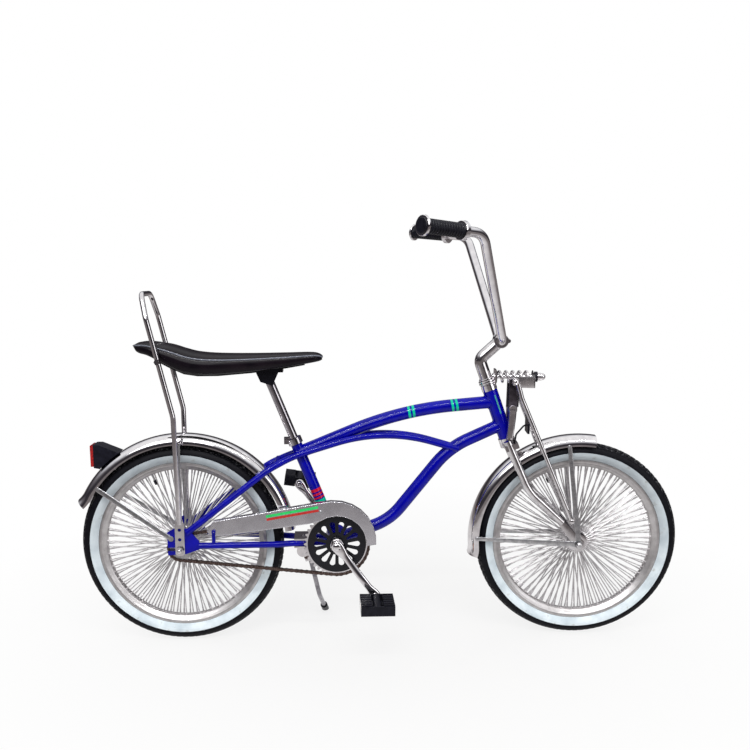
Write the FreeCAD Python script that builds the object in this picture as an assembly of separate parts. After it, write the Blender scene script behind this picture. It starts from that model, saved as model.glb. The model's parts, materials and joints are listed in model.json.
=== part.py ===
import FreeCAD, Part
import math
import os

V = FreeCAD.Vector
Y = V(0, 1, 0)
os.makedirs("parts", exist_ok=True)

# Driving sizes of the upright bicycle in mm: X forward, Y to its left, Z up, ground at zero
WB = 1009.2
R = 256.0
CL = 46.0
CRANK = 157.5

# Wheel hubs, bottom bracket, and a point on the steering axis
RHX, FHX = -WB / 2, WB / 2
RH, FH = V(RHX, 0, R), V(FHX, 0, R)
CS_LEN = R + 134.7
BB_RISE = 4.9
BB = V(RHX + CS_LEN, 0, R + BB_RISE)
A0 = V(FHX - 216.9, 0, 2 * R + 95.0)
TILT = math.radians(20.0)
U = V(-math.sin(TILT), 0, math.cos(TILT))
N = V(math.cos(TILT), 0, math.sin(TILT))
ST = math.radians(21.9)
SU = V(-math.sin(ST), 0, math.cos(ST))

# Half distances between dropout faces, fender radii, seat tube length, crank angle
DO = CL + 9.0
FDO = 45.0
FO = R + 27.0
FFO = R + 20.0
ST_LEN = 284.0
POST_TOP = ST_LEN + 178.0
CRANK_DEG = -52.4

# Tube and pin radii, and the clearance of a running fit
TUBE = 15.9
SEAT_TUBE = 14.3
SEAT_POST = 11.1
SLIM = 8.2
AXLE_R, AXLE_F = 4.76, 3.97
SPINDLE = 5.5
FIT = 0.05

# Parked pose: lean to the left, steering at rest, small pitch, shift of the origin
LEAN = 4.0
STEER = -4.76
PITCH = 0.0132
SHIFT = (1.954, -74.807, 0.592)


def rp(dx, y, dz):
    return RH + V(dx, y, dz)


def fp(dx, y, dz):
    return FH + V(dx, y, dz)


def bp(dx, y, dz):
    return BB + V(dx, y, dz)


def hp(dx, y, dz):
    return A0 + V(dx, y, dz)


def axp(s, f=0.0, y=0.0):
    """Point s up the steering axis and f in front of it."""
    return A0 + U * s + N * f + V(0, y, 0)


def polar(c, deg, r, y=0.0):
    a = math.radians(deg)
    return c + V(r * math.cos(a), y, r * math.sin(a))


def lerp(a, b, t, rise=0.0):
    return a + (b - a) * t + V(0, 0, rise)


def cyl(r, a, b):
    return Part.makeCylinder(r, (b - a).Length, a, b - a)


def ring(ro, ri, a, b):
    return cyl(ro, a, b).cut(cyl(ri, a - (b - a) * 0.01, b + (b - a) * 0.01))


def ycyl(r, c, y0, y1):
    return cyl(r, V(c.x, y0, c.z), V(c.x, y1, c.z))


def box(c, x0, x1, y0, y1, z0, z1):
    """Box given by its faces, in X and Z from the point c."""
    return Part.makeBox(x1 - x0, y1 - y0, z1 - z0, V(c.x + x0, y0, c.z + z0))


def prism(pts, vec):
    return Part.Face(Part.makePolygon(pts + [pts[0]])).extrude(vec)


def plate(c, pts, y0, y1):
    """Flat plate: outline in X and Z from the point c, between two Y faces."""
    return prism([V(c.x + x, y0, c.z + z) for x, z in pts], V(0, y1 - y0, 0))


def hexnut(af, c, y0, y1):
    r = af / math.sqrt(3)
    return prism([polar(V(c.x, y0, c.z), 60 * k, r) for k in range(6)], V(0, y1 - y0, 0))


def wire(pts, rads):
    """Lines through the points with round bends, no bend longer than its legs allow."""
    edges = []
    last = pts[0]
    for a, p, b, r in zip(pts, pts[1:], pts[2:], rads):
        da, db = a - p, b - p
        half = da.getAngle(db) / 2
        t = min(r / math.tan(half), 0.47 * min(da.Length, db.Length))
        r = t * math.tan(half)
        da.normalize()
        db.normalize()
        m = (da + db).normalize()
        edges.append(Part.makeLine(last, p + da * t))
        edges.append(Part.Arc(p + da * t, p + m * (r / math.sin(half) - r), p + db * t).toShape())
        last = p + db * t
    edges.append(Part.makeLine(last, pts[-1]))
    return Part.Wire(edges)


def sweep(pts, rads, r):
    c = Part.Wire(Part.makeCircle(r, pts[0], pts[1] - pts[0]))
    return wire(pts, rads).makePipeShell([c], True, False)


def mir(s):
    return s.mirror(V(0, 0, 0), Y)


def fuse(shapes):
    s = shapes[0]
    if len(shapes) > 1:
        s = s.multiFuse(shapes[1:])
    return s.removeSplitter()


def cut(s, *tools):
    for t in tools:
        s = s.cut(t)
    return s


def biggest(s):
    return max(s.Solids, key=lambda q: q.Volume)


def revolve_y(pts, c, deg=360.0, start=0.0):
    """Turn a (radius, y) outline about the line through c along Y."""
    f = Part.Face(Part.makePolygon([polar(c, start, r, y) for r, y in pts + pts[:1]]))
    return f.revolve(V(c.x, 0, c.z), V(0, -1, 0), deg)


def skin(secs):
    """Solid of flat facets through sections of equal point count."""
    faces = []
    n = len(secs[0])
    for s0, s1 in zip(secs, secs[1:]):
        for i in range(n):
            q = [s0[i], s0[(i + 1) % n], s1[(i + 1) % n], s1[i]]
            for t in ((q[0], q[1], q[2]), (q[0], q[2], q[3])):
                if (t[1] - t[0]).cross(t[2] - t[0]).Length > 1e-6:
                    faces.append(Part.Face(Part.makePolygon([t[0], t[1], t[2], t[0]])))
    for s in (secs[0], secs[-1]):
        faces.append(Part.Face(Part.makePolygon(s + s[:1])))
    sol = Part.Solid(Part.Shell(faces))
    if sol.Volume < 0:
        sol.reverse()
    return sol


nodes = {}


def add(name, shape, body="frame"):
    nodes.setdefault(name, ([], body))[0].append(shape)


def add_pair(name, shape, body="frame"):
    add(name, shape, body)
    add(name, mir(shape), body)


# Frame tubes
head_full = cyl(18.2, axp(-88.9), axp(40.1))
seat_top = BB + SU * ST_LEN
seat_full = cyl(SEAT_TUBE, BB, seat_top)
shell_full = ycyl(27.5, BB, -34, 34)
top_a, top_b = hp(-2.7, 0, 7.3), BB + SU * (ST_LEN - 21) + V(0, 0, -18.6)
top_full = sweep([top_a, lerp(top_a, top_b, 0.469, 40.2), top_b], [850], TUBE)
down_a = hp(17.3, 0, -51.2)
down_knee = lerp(down_a, BB, 0.315, 33.5)
down_full = sweep([down_a, down_knee, lerp(down_a, BB, 0.673, -48.4), BB], [220, 150], TUBE)
add("head_tube", ring(18.2, 15.5, axp(-88.9), axp(40.1)))
add("top_tube", cut(top_full, head_full, seat_full))
add("down_tube", cut(down_full, head_full, shell_full))
add("seat_tube", ring(SEAT_TUBE, SEAT_POST + FIT, BB, seat_top).cut(shell_full))

# Bottom bracket shell and cups
add("bottom_bracket_shell", shell_full.cut(ycyl(22.0, BB, -35, 35)))
cup = ycyl(27.5, BB, 34, 36.5).fuse(ycyl(22.0, BB, 26, 34)).cut(ycyl(8.0 + FIT, BB, 20, 40))
add_pair("bb_cups", cup)

# Rear dropouts with axle slots open to the rear
drop = plate(RH, [(-31.4, 44), (-15.4, 53), (18.6, 53), (46.6, 20), (48.6, 0), (14.6, -12), (-31.4, -15)],
             DO, DO + 5)
drop = cut(drop, box(RH, -36, 0, DO - 1, DO + 6, -5, 5), ycyl(5, RH, DO - 1, DO + 6))
add_pair("rear_dropouts", drop)

# Paired mid tubes: from the dropouts round the rear fender, past the seat tube, to the down tube
mid_fender = polar(RH, 41.75, FO + 11.4, 42)
mid_seat = BB + SU * (ST_LEN - 45.7) + V(-22.2, 24, 0)
mid_end = down_knee + V(23, 11, -1.4)
mid_top = lerp(mid_seat, mid_end, 0.546, 62)
mid_top.y = 17
mid_pts = [rp(16.6, DO + 2.5, 42), mid_fender, mid_seat, mid_top, mid_end]
mid = cut(sweep(mid_pts, [120, 220, 420], SLIM), drop, down_full, seat_full, top_full)
add_pair("mid_tubes", mid)
bridge = lerp(mid_fender, mid_seat, 0.38, 3)
add("mid_tubes", cut(ycyl(7, bridge, -35, 35), mid, mir(mid)))

# Chain stays
stay_pts = [rp(45.6, DO + 2.5, 8), rp(R - 13.4, 40, 3.5), rp(R + 33.6, 29, 3), bp(-14.1, 22, -1.9)]
chain_stay = cut(sweep(stay_pts, [120, 120], 8.0), drop, shell_full)
add_pair("chain_stays", chain_stay)

# Headset races
add("headset_cups", fuse([ring(20.5, 13.5, axp(-97), axp(-88.9)), ring(15.5, 13.5, axp(-88.9), axp(-80))]))
add("headset_cups", fuse([ring(19.5, 13.5, axp(40.1), axp(49)), ring(15.5, 13.5, axp(31), axp(40.1))]))

# Seat collar and post
post_top = BB + SU * POST_TOP
ear_at = BB + SU * (ST_LEN - 6)
ears = fuse([box(ear_at, -27, -12, 2, 7, -8, 9), box(ear_at, -27, -12, -7, -2, -8, 9), ycyl(3.5, ear_at + V(-21, 0, 0), -13, 13),
             ycyl(6, ear_at + V(-21, 0, 0), -13, -7), hexnut(11, ear_at + V(-21, 0, 0), 7, 12)])
collar = fuse([ring(18.5, SEAT_TUBE, BB + SU * (ST_LEN - 14), BB + SU * (ST_LEN + 1.5)), ears])
collar = biggest(cut(collar, seat_full, cyl(SEAT_POST, BB + SU * (ST_LEN - 24), BB + SU * (ST_LEN + 16)), top_full, mid, mir(mid)))
add("seat_post", collar)
add("seat_post", cyl(SEAT_POST, BB + SU * (ST_LEN - 94), post_top))

# Saddle: (x from the post, underside, top, half width)
SADDLE = [(-319.8, 67.4, 73.4, 22), (-307.8, 55.4, 79.4, 42), (-279.8, 47.4, 81.4, 60),
          (-231.8, 22.4, 74.4, 69), (-195.8, 6.4, 63.4, 71), (-162.8, 1.4, 55.4, 71),
          (-113.8, 1.4, 51.4, 68), (-32.8, 7.4, 50.4, 58), (49.2, 17.4, 51.4, 48),
          (110.2, 27.4, 52.4, 41), (131.2, 31.4, 49.4, 32), (139.2, 34.4, 43.4, 18)]
# Right half of the saddle section: (share of half width, share of height)
SADDLE_SECTION = [(0.72, 0.0), (0.93, 0.12), (1.0, 0.42), (0.93, 0.72), (0.62, 0.94)]


def saddle_section(x, zb, zt, w):
    half = [(w * a, zb + (zt - zb) * b) for a, b in SADDLE_SECTION]
    pts = [(-y, z) for y, z in half] + [(0, zt)] + half[::-1]
    return [post_top + V(x, y, z) for y, z in pts]


def pan_section(x, zb, zt, w):
    y = 0.66 * w
    return [post_top + V(x, a, b) for a, b in ((-y, zb), (y, zb), (y, zb - 2.5), (-y, zb - 2.5))]


def between(a, b, t):
    return [p + (q - p) * t for p, q in zip(a, b)]


saddle = skin([saddle_section(*row) for row in SADDLE])
pan_rows = [between(SADDLE[2], SADDLE[3], 0.55)] + SADDLE[3:9] + [between(SADDLE[8], SADDLE[9], 0.77)]
pan = skin([pan_section(*row) for row in pan_rows]).cut(saddle)
clamp = fuse([plate(post_top, [(-14, -20), (17, -30), (19, -22), (30, 2), (30, 22.4), (-24, 22.4), (-24, 2)], -15, 15),
              box(post_top, -34, 42, -19, 19, 4, 22.4)])
clamp = cut(clamp, pan, saddle, cyl(SEAT_POST, BB + SU * (ST_LEN + 16), post_top))
add("saddle", saddle)
add("saddle_pan", pan)
add("saddle_clamp", biggest(clamp))

# Sissy bar: one hoop from axle plate to axle plate, bolted to the saddle's sides
hoop = [rp(0, DO + 9, 66), rp(-0.9, 69, 164), rp(-2.4, 78, 336), rp(-57.4, 78, 574), rp(-70.4, 55.5, 630)]
hoop_bends = [120, 60, 40, 26]
hoop_full = sweep(hoop + [V(p.x, -p.y, p.z) for p in hoop[::-1]], hoop_bends + hoop_bends[::-1], 6.35)
foot = plate(RH, [(-11.4, -10), (-5.4, -15), (5.6, -15), (11.6, -10), (11.6, 66), (5.6, 78), (-5.4, 78),
                  (-11.4, 66)], DO + 7, DO + 11)
for r, z in ((AXLE_R, 0), (4.2, 27), (4.2, 52)):
    foot = foot.cut(ycyl(r, rp(0, 0, z), DO + 5, DO + 15))
add("sissy_bar", fuse([hoop_full, foot, mir(foot)]))
bolt_at = lerp(hoop[2], hoop[3], 0.567)
side_bolt = fuse([ycyl(4, bolt_at, 50, 92), hexnut(13, bolt_at, 84.5, 90)])
add_pair("sissy_bar", biggest(cut(side_bolt, hoop_full, saddle)))

# Rear axle, nuts, spacers and the coaster brake's reaction arm
add("rear_axle", ycyl(AXLE_R, RH, -DO - 25, DO + 25))
add_pair("rear_axle", hexnut(17, RH, DO + 11, DO + 19).cut(ycyl(AXLE_R, RH, DO, DO + 25)))
add("rear_axle", ring(12, AXLE_R, rp(0, DO - 3, 0), rp(0, DO, 0)))
add("rear_axle", ring(9, AXLE_R, rp(0, -DO, 0), rp(0, -CL - 4.5, 0)))
clip_a, clip_b = lerp(stay_pts[0], stay_pts[1], 0.279), lerp(stay_pts[0], stay_pts[1], 0.35)
reach = (clip_b - RH).x
arm = fuse([ycyl(16, RH, DO - 6, DO - 3), plate(RH, [(0, 11), (reach, 13), (reach, 0), (0, -11)], DO - 6, DO - 3)])
arm = biggest(cut(arm, ycyl(AXLE_R, RH, DO - 10, DO), chain_stay))
clip = ring(10.0, 8.0, clip_a, clip_b)
add("brake_arm", arm)
add("brake_arm", cut(clip, chain_stay, arm))


# Fenders: rolled section turned round the hub, the rear end flared outward
def fender(ro, hub, a0, a1, flare, flare_r):
    half = [(ro - 25, 31.5), (ro - 12, 29.5), (ro - 3.5, 19.5), (ro, 6.5)]
    inner = [(ro - 1.8, 6.5), (ro - 4.9, 18.5), (ro - 12.7, 27.7), (ro - 25, 29.7)]
    sec = half + [(r, -y) for r, y in half[::-1]] + [(r, -y) for r, y in inner[::-1]] + inner
    end = Part.Face(Part.makePolygon([polar(hub, a1, r, y) for r, y in sec + sec[:1]]))
    tail = end.revolve(polar(hub, a1, ro + flare_r), Y, flare)
    return revolve_y(sec, hub, a1 - a0, a0).fuse(tail).removeSplitter()


REAR_C = RH + V(5, 0, 2)
rear_fender = fender(FO, REAR_C, 7.0, 151.2, 20.0, 75.0)
front_fender = fender(FFO, FH, 82.0, 184.0, 20.0, 60.0)
add("rear_fender", rear_fender)
add("front_fender", front_fender, "fork")


def fender_stay(start, end, eye, eye_r, tools):
    """Rod from the fender's edge to an eye on the hub side, cut back from what it meets."""
    pad = V(start.x, 0, start.z)
    s = fuse([cyl(2.6, start, end), ycyl(5, pad, 31, 37), ycyl(eye_r, eye, eye.y - 1, eye.y + 1)])
    return biggest(cut(s, *tools))


axle_hole = ycyl(AXLE_R, RH, DO - 5, DO + 25)
low_eye = rp(-22.4, DO + 6, 28)
add_pair("rear_fender_stays", fender_stay(polar(REAR_C, 144.9, FO - 27.2, 33.5), low_eye, low_eye, 7,
                                          [rear_fender, drop]))
add_pair("rear_fender_stays", fender_stay(polar(REAR_C, 91.6, FO - 22.9, 33.5), rp(0, DO + 6, 8), rp(0, DO + 6, 0), 9,
                                          [rear_fender, drop, foot, axle_hole]))

# Tail light on the rear fender
lamp_at = polar(REAR_C, 135, FO)
lamp_pts = [(-17.3, -0.1), (-17.3, 57.9), (-3.3, 57.9), (46.7, 36.9), (4.7, -4.1)]
lamp = plate(lamp_at, lamp_pts, -24, 24).cut(ycyl(FO, REAR_C, -60, 60))
add("tail_light_housing", biggest(lamp.cut(rear_fender)))
add("tail_light_lens", box(lamp_at, -25.3, -17.3, -22, 22, 2.9, 55.9))

# Chain guard: outline round the chainring and back along the upper run, with a lip over the chain
GUARD_Y = -CL - 12.0
nose = [polar(BB, a, 99.0 + 15.0 * a / 97.0) for a in (97, 83, 69, 55, 41, 27, 13, 0)]
upper = [rp(82.6, 0, 70), bp(-57.1, 0, 107.1)] + nose
inside = [bp(75.5, 0, -2.9)] + [polar(BB, a, 75.5) for a in (12, 28, 44, 60, 76, 92, 108, 124)]
rear_end = [bp(-70.1, 0, 56.1), rp(120.6, 0, 35), rp(87.6, 0, 34), rp(71.6, 0, 37), rp(66.6, 0, 46),
            rp(72.6, 0, 57)]
guard_y = V(0, GUARD_Y, 0)
guard = prism([p + guard_y for p in upper + inside + rear_end], V(0, 2, 0))
rim_line = upper[:-1]
under = []
for i, p in enumerate(rim_line):
    d = rim_line[min(i + 1, len(rim_line) - 1)] - rim_line[max(i - 1, 0)]
    d.normalize()
    under.append(p + V(d.z, 0, -d.x) * 2)
lip = prism([p + guard_y for p in rim_line + under[::-1]], V(0, 17, 0))
add("chain_guard", guard.fuse(lip).removeSplitter())
tab = fuse([box(RH, 78.6, 87.6, GUARD_Y - 2.2, GUARD_Y, 6, 48), ycyl(5, rp(83.6, 0, 44), GUARD_Y - 4.5, GUARD_Y)])
add("guard_bracket", tab.cut(mir(chain_stay)))
add("guard_bracket", biggest(box(BB, -44.1, -34.1, GUARD_Y + 2, -10, 85.1, 89.1).cut(seat_full)))

# Sprockets of half inch pitch
LINK = 12.7
TEETH_BIG, TEETH_SMALL = 40, 16
# One tooth: (share of the tooth's angle, height over the pitch circle)
TOOTH = [(-0.36, -4.0), (-0.13, 2.2), (0.13, 2.2), (0.36, -4.0)]


def pitch_r(n):
    return LINK / (2 * math.sin(math.pi / n))


def sprocket(n, c, y0, y1):
    pts = [polar(V(c.x, y0, c.z), (k + da) * 360.0 / n, pitch_r(n) + dr) for k in range(n) for da, dr in TOOTH]
    return prism(pts, V(0, y1 - y0, 0))


RB, RS = pitch_r(TEETH_BIG), pitch_r(TEETH_SMALL)
WEB = RB - 7.0
chainring = sprocket(TEETH_BIG, BB, -CL - 1.4, -CL + 1.4).cut(ycyl(WEB, BB, -CL - 3, -CL + 3))
add("chainring", chainring, "crank")


def teardrop(k, n=14):
    """Window of the chainring's disc: round outside, narrow toward the axle."""
    a = 2 * math.pi * k / n
    e, t = V(math.cos(a), 0, math.sin(a)), V(-math.sin(a), 0, math.cos(a))
    c0 = V(BB.x, -CL - 3, BB.z) + e * 51
    c1 = V(BB.x, -CL - 3, BB.z) + e * 28
    w = Part.Wire([Part.Arc(c0 + t * 7, c0 + e * 7, c0 - t * 7).toShape(),
                   Part.makeLine(c0 - t * 7, c1 - t * 2.4),
                   Part.makeLine(c1 - t * 2.4, c1 + t * 2.4),
                   Part.makeLine(c1 + t * 2.4, c0 + t * 7)])
    return Part.Face(w).extrude(V(0, 6, 0))


disc = ycyl(WEB, BB, -CL - 1.4, -CL + 1.4).cut(ycyl(17, BB, -CL - 3, -CL + 3))
add("chainring_disc", cut(disc, *[teardrop(k) for k in range(14)]), "crank")

cog = fuse([sprocket(TEETH_SMALL, RH, -CL - 1.4, -CL + 1.4), ycyl(17, RH, -CL - 3, -CL + 5)])
add("cog", cog.cut(ycyl(AXLE_R + FIT, RH, -CL - 14, -CL + 16)), "cog")

# Chain: a belt round both pitch circles, waved once a link
gap = BB - RH
REACH = gap.Length
base = math.atan2(gap.z, gap.x)
wrap = math.asin((RB - RS) / REACH)
span = math.sqrt(REACH ** 2 - (RB - RS) ** 2)
arc_b, arc_s = math.pi + 2 * wrap, math.pi - 2 * wrap
total = 2 * span + RB * arc_b + RS * arc_s


def on_chain(s, off):
    """Point at length s along the pitch line, moved outward by off."""
    a = base + math.pi / 2 + wrap
    for c, r, arc in ((BB, RB, arc_b), (RH, RS, arc_s)):
        if s < r * arc:
            return polar(c, math.degrees(a - s / r), r + off)
        s -= r * arc
        a -= arc
        if s < span:
            run = V(math.sin(a), 0, -math.cos(a))
            return polar(c, math.degrees(a), r + off) + run * s
        s -= span
    return polar(BB, math.degrees(a), RB + off)


def belt(crest, valley, y):
    n = int(round(total / LINK)) * 2
    return [on_chain(total * k / n, crest if k % 2 else valley) + V(0, y, 0) for k in range(n)]


def loop(off, y):
    """Face inside the plain loop at height off from the pitch line."""
    end_b = RB * arc_b
    marks = (0, end_b / 2, end_b - 1e-6, end_b + span, end_b + span + RS * arc_s / 2, total - span - 1e-6)
    p = [on_chain(s, off) + V(0, y, 0) for s in marks]
    return Part.Face(Part.Wire([Part.Arc(p[0], p[1], p[2]).toShape(), Part.makeLine(p[2], p[3]),
                                Part.Arc(p[3], p[4], p[5]).toShape(), Part.makeLine(p[5], p[0])]))


side = -CL - 4.2
chain = prism(belt(4.9, 3.7, side), V(0, 8.4, 0)).cut(loop(-4.5, side - 1).extrude(V(0, 10.4, 0)))
# Slot between the side plates for the teeth: (centre, sides, radius)
for c, n, r in ((BB, TEETH_BIG, RB + 3.3), (RH, TEETH_SMALL, RS + 3.6)):
    slot = prism([polar(V(c.x, -CL - 2.2, c.z), 360.0 * k / n, r) for k in range(n)], V(0, 4.4, 0))
    chain = chain.cut(slot)
add("chain", chain)

# Cranks: side outline of the arm, bent outward, and its face outline meet in one solid
ARM_IN, ARM_OUT = CL + 16.0, CL + 29.0
PEDAL_IN, PEDAL_OUT = CL + 31.0, CL + 44.0
ARM_SIDE = [(-15, ARM_IN), (-15, ARM_OUT), (28, ARM_OUT), (CRANK - 37.5, PEDAL_OUT), (CRANK + 15, PEDAL_OUT),
            (CRANK + 15, PEDAL_IN), (CRANK - 33.5, PEDAL_IN), (32, ARM_IN)]


def crank_arm(sgn, deg):
    a = math.radians(deg)
    e, t = V(math.cos(a), 0, math.sin(a)), V(-math.sin(a), 0, math.cos(a))
    bent = prism([BB + e * p + V(0, sgn * q, 0) - t * 16 for p, q in ARM_SIDE], t * 32)
    c0 = BB + V(0, sgn * (ARM_IN - 2), 0)
    c1 = c0 + e * CRANK
    w = Part.Wire([Part.Arc(c0 + t * 15, c0 - e * 15, c0 - t * 15).toShape(),
                   Part.makeLine(c0 - t * 15, c0 + e * 40 - t * 9),
                   Part.makeLine(c0 + e * 40 - t * 9, c1 - e * 20 - t * 9),
                   Part.makeLine(c1 - e * 20 - t * 9, c1 - t * 13),
                   Part.Arc(c1 - t * 13, c1 + e * 13, c1 + t * 13).toShape(),
                   Part.makeLine(c1 + t * 13, c1 - e * 20 + t * 9),
                   Part.makeLine(c1 - e * 20 + t * 9, c0 + e * 40 + t * 9),
                   Part.makeLine(c0 + e * 40 + t * 9, c0 + t * 15)])
    return bent.common(Part.Face(w).extrude(V(0, sgn * 36, 0)))


spindle = fuse([ycyl(8.0, BB, -CL - 18, CL + 18), ycyl(17, BB, -ARM_IN, -CL + 1.4),
                ycyl(19, BB, -CL + 1.4, -CL + 4), ycyl(13, BB, CL - 4, ARM_IN)])
pedal_right = polar(BB, CRANK_DEG, CRANK)
pedal_left = polar(BB, CRANK_DEG, -CRANK)
cranks = [spindle, crank_arm(-1, CRANK_DEG), crank_arm(1, CRANK_DEG + 180)]
for c, sgn in ((pedal_right, -1), (pedal_left, 1)):
    cranks.append(ycyl(SPINDLE, c, sgn * PEDAL_OUT, sgn * (CL + 140)))
    cranks.append(ycyl(8.5, c, sgn * PEDAL_OUT, sgn * (PEDAL_OUT + 7)))
add("crank_arms", fuse(cranks), "crank")

# Pedals: two treads with cross ribs, end bars, a barrel, and a reflector front and rear
Y0, Y1 = CL + 56.0, CL + 144.0


def pedal(c, sgn, turn):
    o = V(0, 0, 0)
    body = fuse([box(o, -41, -14, Y0 + 5, Y1 - 5, -14, 14), box(o, 14, 41, Y0 + 5, Y1 - 5, -14, 14),
                 box(o, -41, 41, Y0, Y0 + 5, -12, 12), box(o, -41, 41, Y1 - 5, Y1, -12, 12),
                 ycyl(12, o, Y0, Y1), box(o, -15, 15, Y0 + 30, Y1 - 30, -5, 5)])
    body = body.cut(ycyl(SPINDLE + FIT, o, Y0 - 1, CL + 140.5))
    grooves = [box(o, x0, x1, Y0 + 11 + 15 * k, Y0 + 16 + 15 * k, z, z + 2)
               for x0, x1 in ((-42, -13), (13, 42)) for z in (-14, 12) for k in range(5)]
    lenses = [box(o, x, x + 2, Y0 + 18, Y1 - 18, -8, 8) for x in (-41, 39)]
    out = []
    for s in (cut(body, *(grooves + lenses)), lenses[0].fuse(lenses[1])):
        if sgn < 0:
            s = mir(s)
        s.rotate(o, Y, turn)
        s.translate(V(c.x, 0, c.z))
        out.append(s)
    return out


for tag, c, sgn, turn in (("right", pedal_right, -1, 0), ("left", pedal_left, 1, 8)):
    body, lenses = pedal(c, sgn, turn)
    add("pedal_body_" + tag, body, "pedal_" + tag)
    add("pedal_reflectors_" + tag, lenses, "pedal_" + tag)

# Side stand: bracket on the chain stays, leg with a dog-leg bend, rubber foot flat on the ground
PIN_R = 6.0
KP = bp(-71.1, 30, -52.9)
KA = V(-0.03, 0.999, 0.03).normalize()
cheek = prism([bp(-100.1, 10, -13.9), bp(-72.1, 10, -13.9), bp(-62.1, 10, -60.9), bp(-80.1, 10, -64.9)],
              V(0, 10, 0))
bracket = fuse([box(BB, -108.1, -64.1, -34, 42, -13.9, -9.9), box(BB, -100.1, -72.1, -14, 14, -20.9, -13.9),
                box(BB, -108.1, -64.1, -34, 34, 6.1, 10.1), ycyl(16, bp(-86.1, 0, -25.9), -22, 22), cheek,
                cyl(5, bp(-86.1, 0, -23.9), bp(-86.1, 0, 12.1)), cyl(PIN_R, KP - KA * 12, KP + KA * 18)])
add("stand_bracket", cut(bracket, chain_stay, mir(chain_stay)))
pin_hole = cyl(PIN_R + FIT, KP - KA * 2, KP + KA * 30)
knee, toe = V(BB.x - 46.1, 48, 92), V(BB.x - 31.6, 140, 19.5)
leg = sweep([KP + KA * 8 + V(2, 0, -9), knee, toe], [30], 6.0)
eye = cyl(13, KP + KA * 1.5, KP + KA * 15)
add("stand_leg", fuse([eye, leg]).cut(pin_hole), "kickstand")
toe_dir = (toe - knee).normalize()
ground = Part.makeBox(300, 250, 60, V(BB.x - 186, 50, -60))
ground.translate(V(*SHIFT) * -1)
ground.rotate(V(RHX, 0, 0), Y, -PITCH)
ground.rotate(V(0, 0, 0), V(1, 0, 0), LEAN)
add("stand_foot", cut(cyl(9.5, toe - toe_dir * 22, toe + toe_dir * 14), leg, ground), "kickstand")

# Wheels: (radius, half width) outlines of tyre and rim, and crossed spokes in two layers a side
TYRE = [(R - 46, 14), (R - 25, 26.5), (R, 8.5)]
RIM = [(R - 46, 14), (R - 44, 15.4), (R - 44, 17.6), (R - 51, 17.6), (R - 63, 8)]
SPOKES = 70


def both_sides(half):
    return half + [(r, -y) for r, y in half[::-1]]


def spokes(hub, flange, flange_r):
    out = []
    for side in (1, -1):
        for k in range(SPOKES):
            outer = k % 2
            a0 = 360.0 * (k + (0.0 if side > 0 else 0.5)) / SPOKES
            p0 = polar(hub, a0, flange_r - 4, side * (flange + (1.6 if outer else -3.6)))
            p1 = polar(hub, a0 + (14 if outer else -14), R - 63.2, side * (6.4 if outer else 1.2))
            d = (p1 - p0).normalize()
            t = d.cross(Y).normalize()
            b = d.cross(t).normalize()
            out.append(prism([p0 + (t * i + b * j) * 0.95 for i, j in ((1, 1), (-1, 1), (-1, -1), (1, -1))],
                             p1 - p0))
    return out


REAR_FL, FRONT_FL = CL - 16.0, 26.0
rear_hub = fuse([ycyl(36, RH, REAR_FL - 3.5, REAR_FL + 1.5), ycyl(36, RH, -REAR_FL - 1.5, -REAR_FL + 3.5),
                 ycyl(21, RH, -REAR_FL + 3, REAR_FL - 3), ycyl(16, RH, -CL + 8, DO - 6.5)])
rear_hub = rear_hub.cut(ycyl(AXLE_R + FIT, RH, -DO, DO))
front_hub = fuse([ycyl(30, FH, FRONT_FL - 3.5, FRONT_FL + 1.5), ycyl(30, FH, -FRONT_FL - 1.5, -FRONT_FL + 3.5),
                  ycyl(16, FH, -FRONT_FL + 3, FRONT_FL - 3), ycyl(10, FH, -FDO + 4, FDO - 4)])
front_hub = front_hub.cut(ycyl(AXLE_F + FIT, FH, -FDO, FDO))
for tag, c, hub, flange, flange_r in (("rear", RH, rear_hub, REAR_FL, 36), ("front", FH, front_hub, FRONT_FL, 30)):
    add("tyre_" + tag, revolve_y(both_sides(TYRE), c), tag + "_wheel")
    add("rim_" + tag, revolve_y(both_sides(RIM), c), tag + "_wheel")
    add("spokes_" + tag, fuse([hub] + spokes(c, flange, flange_r)), tag + "_wheel")

# Springer fork: steerer and crown, rigid blades, struts, links, and the spring across the head
steer_r, steer_bore = 12.7, SEAT_POST
tube = ring(steer_r, steer_bore, axp(-112), axp(49))
crown_bar = Part.makeBox(34, 104, 14, V(-17, -52, -7))
crown_bar.rotate(V(0, 0, 0), Y, -math.degrees(TILT))
crown_bar.translate(axp(-108, 4))
crown_full = fuse([cyl(20.5, axp(-112), axp(-97.2)), crown_bar])
blade = sweep([hp(29.3, 42, -86), fp(-130.6, 48, 137), fp(-42.6, 47.5, 56)], [130], 9.5)
crown = biggest(cut(crown_full, blade, mir(blade), cyl(steer_r, axp(-120), axp(-90))))
add("steerer", tube, "fork")
add("steerer", crown, "fork")
fork_end = plate(FH, [(-64.6, 66), (-49.6, 80), (0.4, 18), (14.4, 6), (14.4, -12), (0.4, -18), (-12.6, -12),
                      (-18.6, 6)], FDO, FDO + 5).cut(ycyl(AXLE_F, FH, FDO - 5, FDO + 15))
blade = cut(blade, fork_end)
add_pair("fork_blades", blade, "fork")
add_pair("fork_blades", fork_end, "fork")

strut = sweep([hp(52.3, 31.2, 57), hp(62.3, 33, 21), fp(-34.6, FDO + 11.5, 94), fp(-22.6, FDO + 11.5, 66)],
              [40, 60], 6.0)
strut_eye = fp(-21.6, 0, 64)
strut = fuse([strut, ycyl(10, strut_eye, FDO + 5, FDO + 9), ycyl(4, strut_eye, FDO + 9, FDO + 18)])
strut = biggest(cut(strut, fork_end, blade))
add_pair("struts", strut, "fork")

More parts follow.
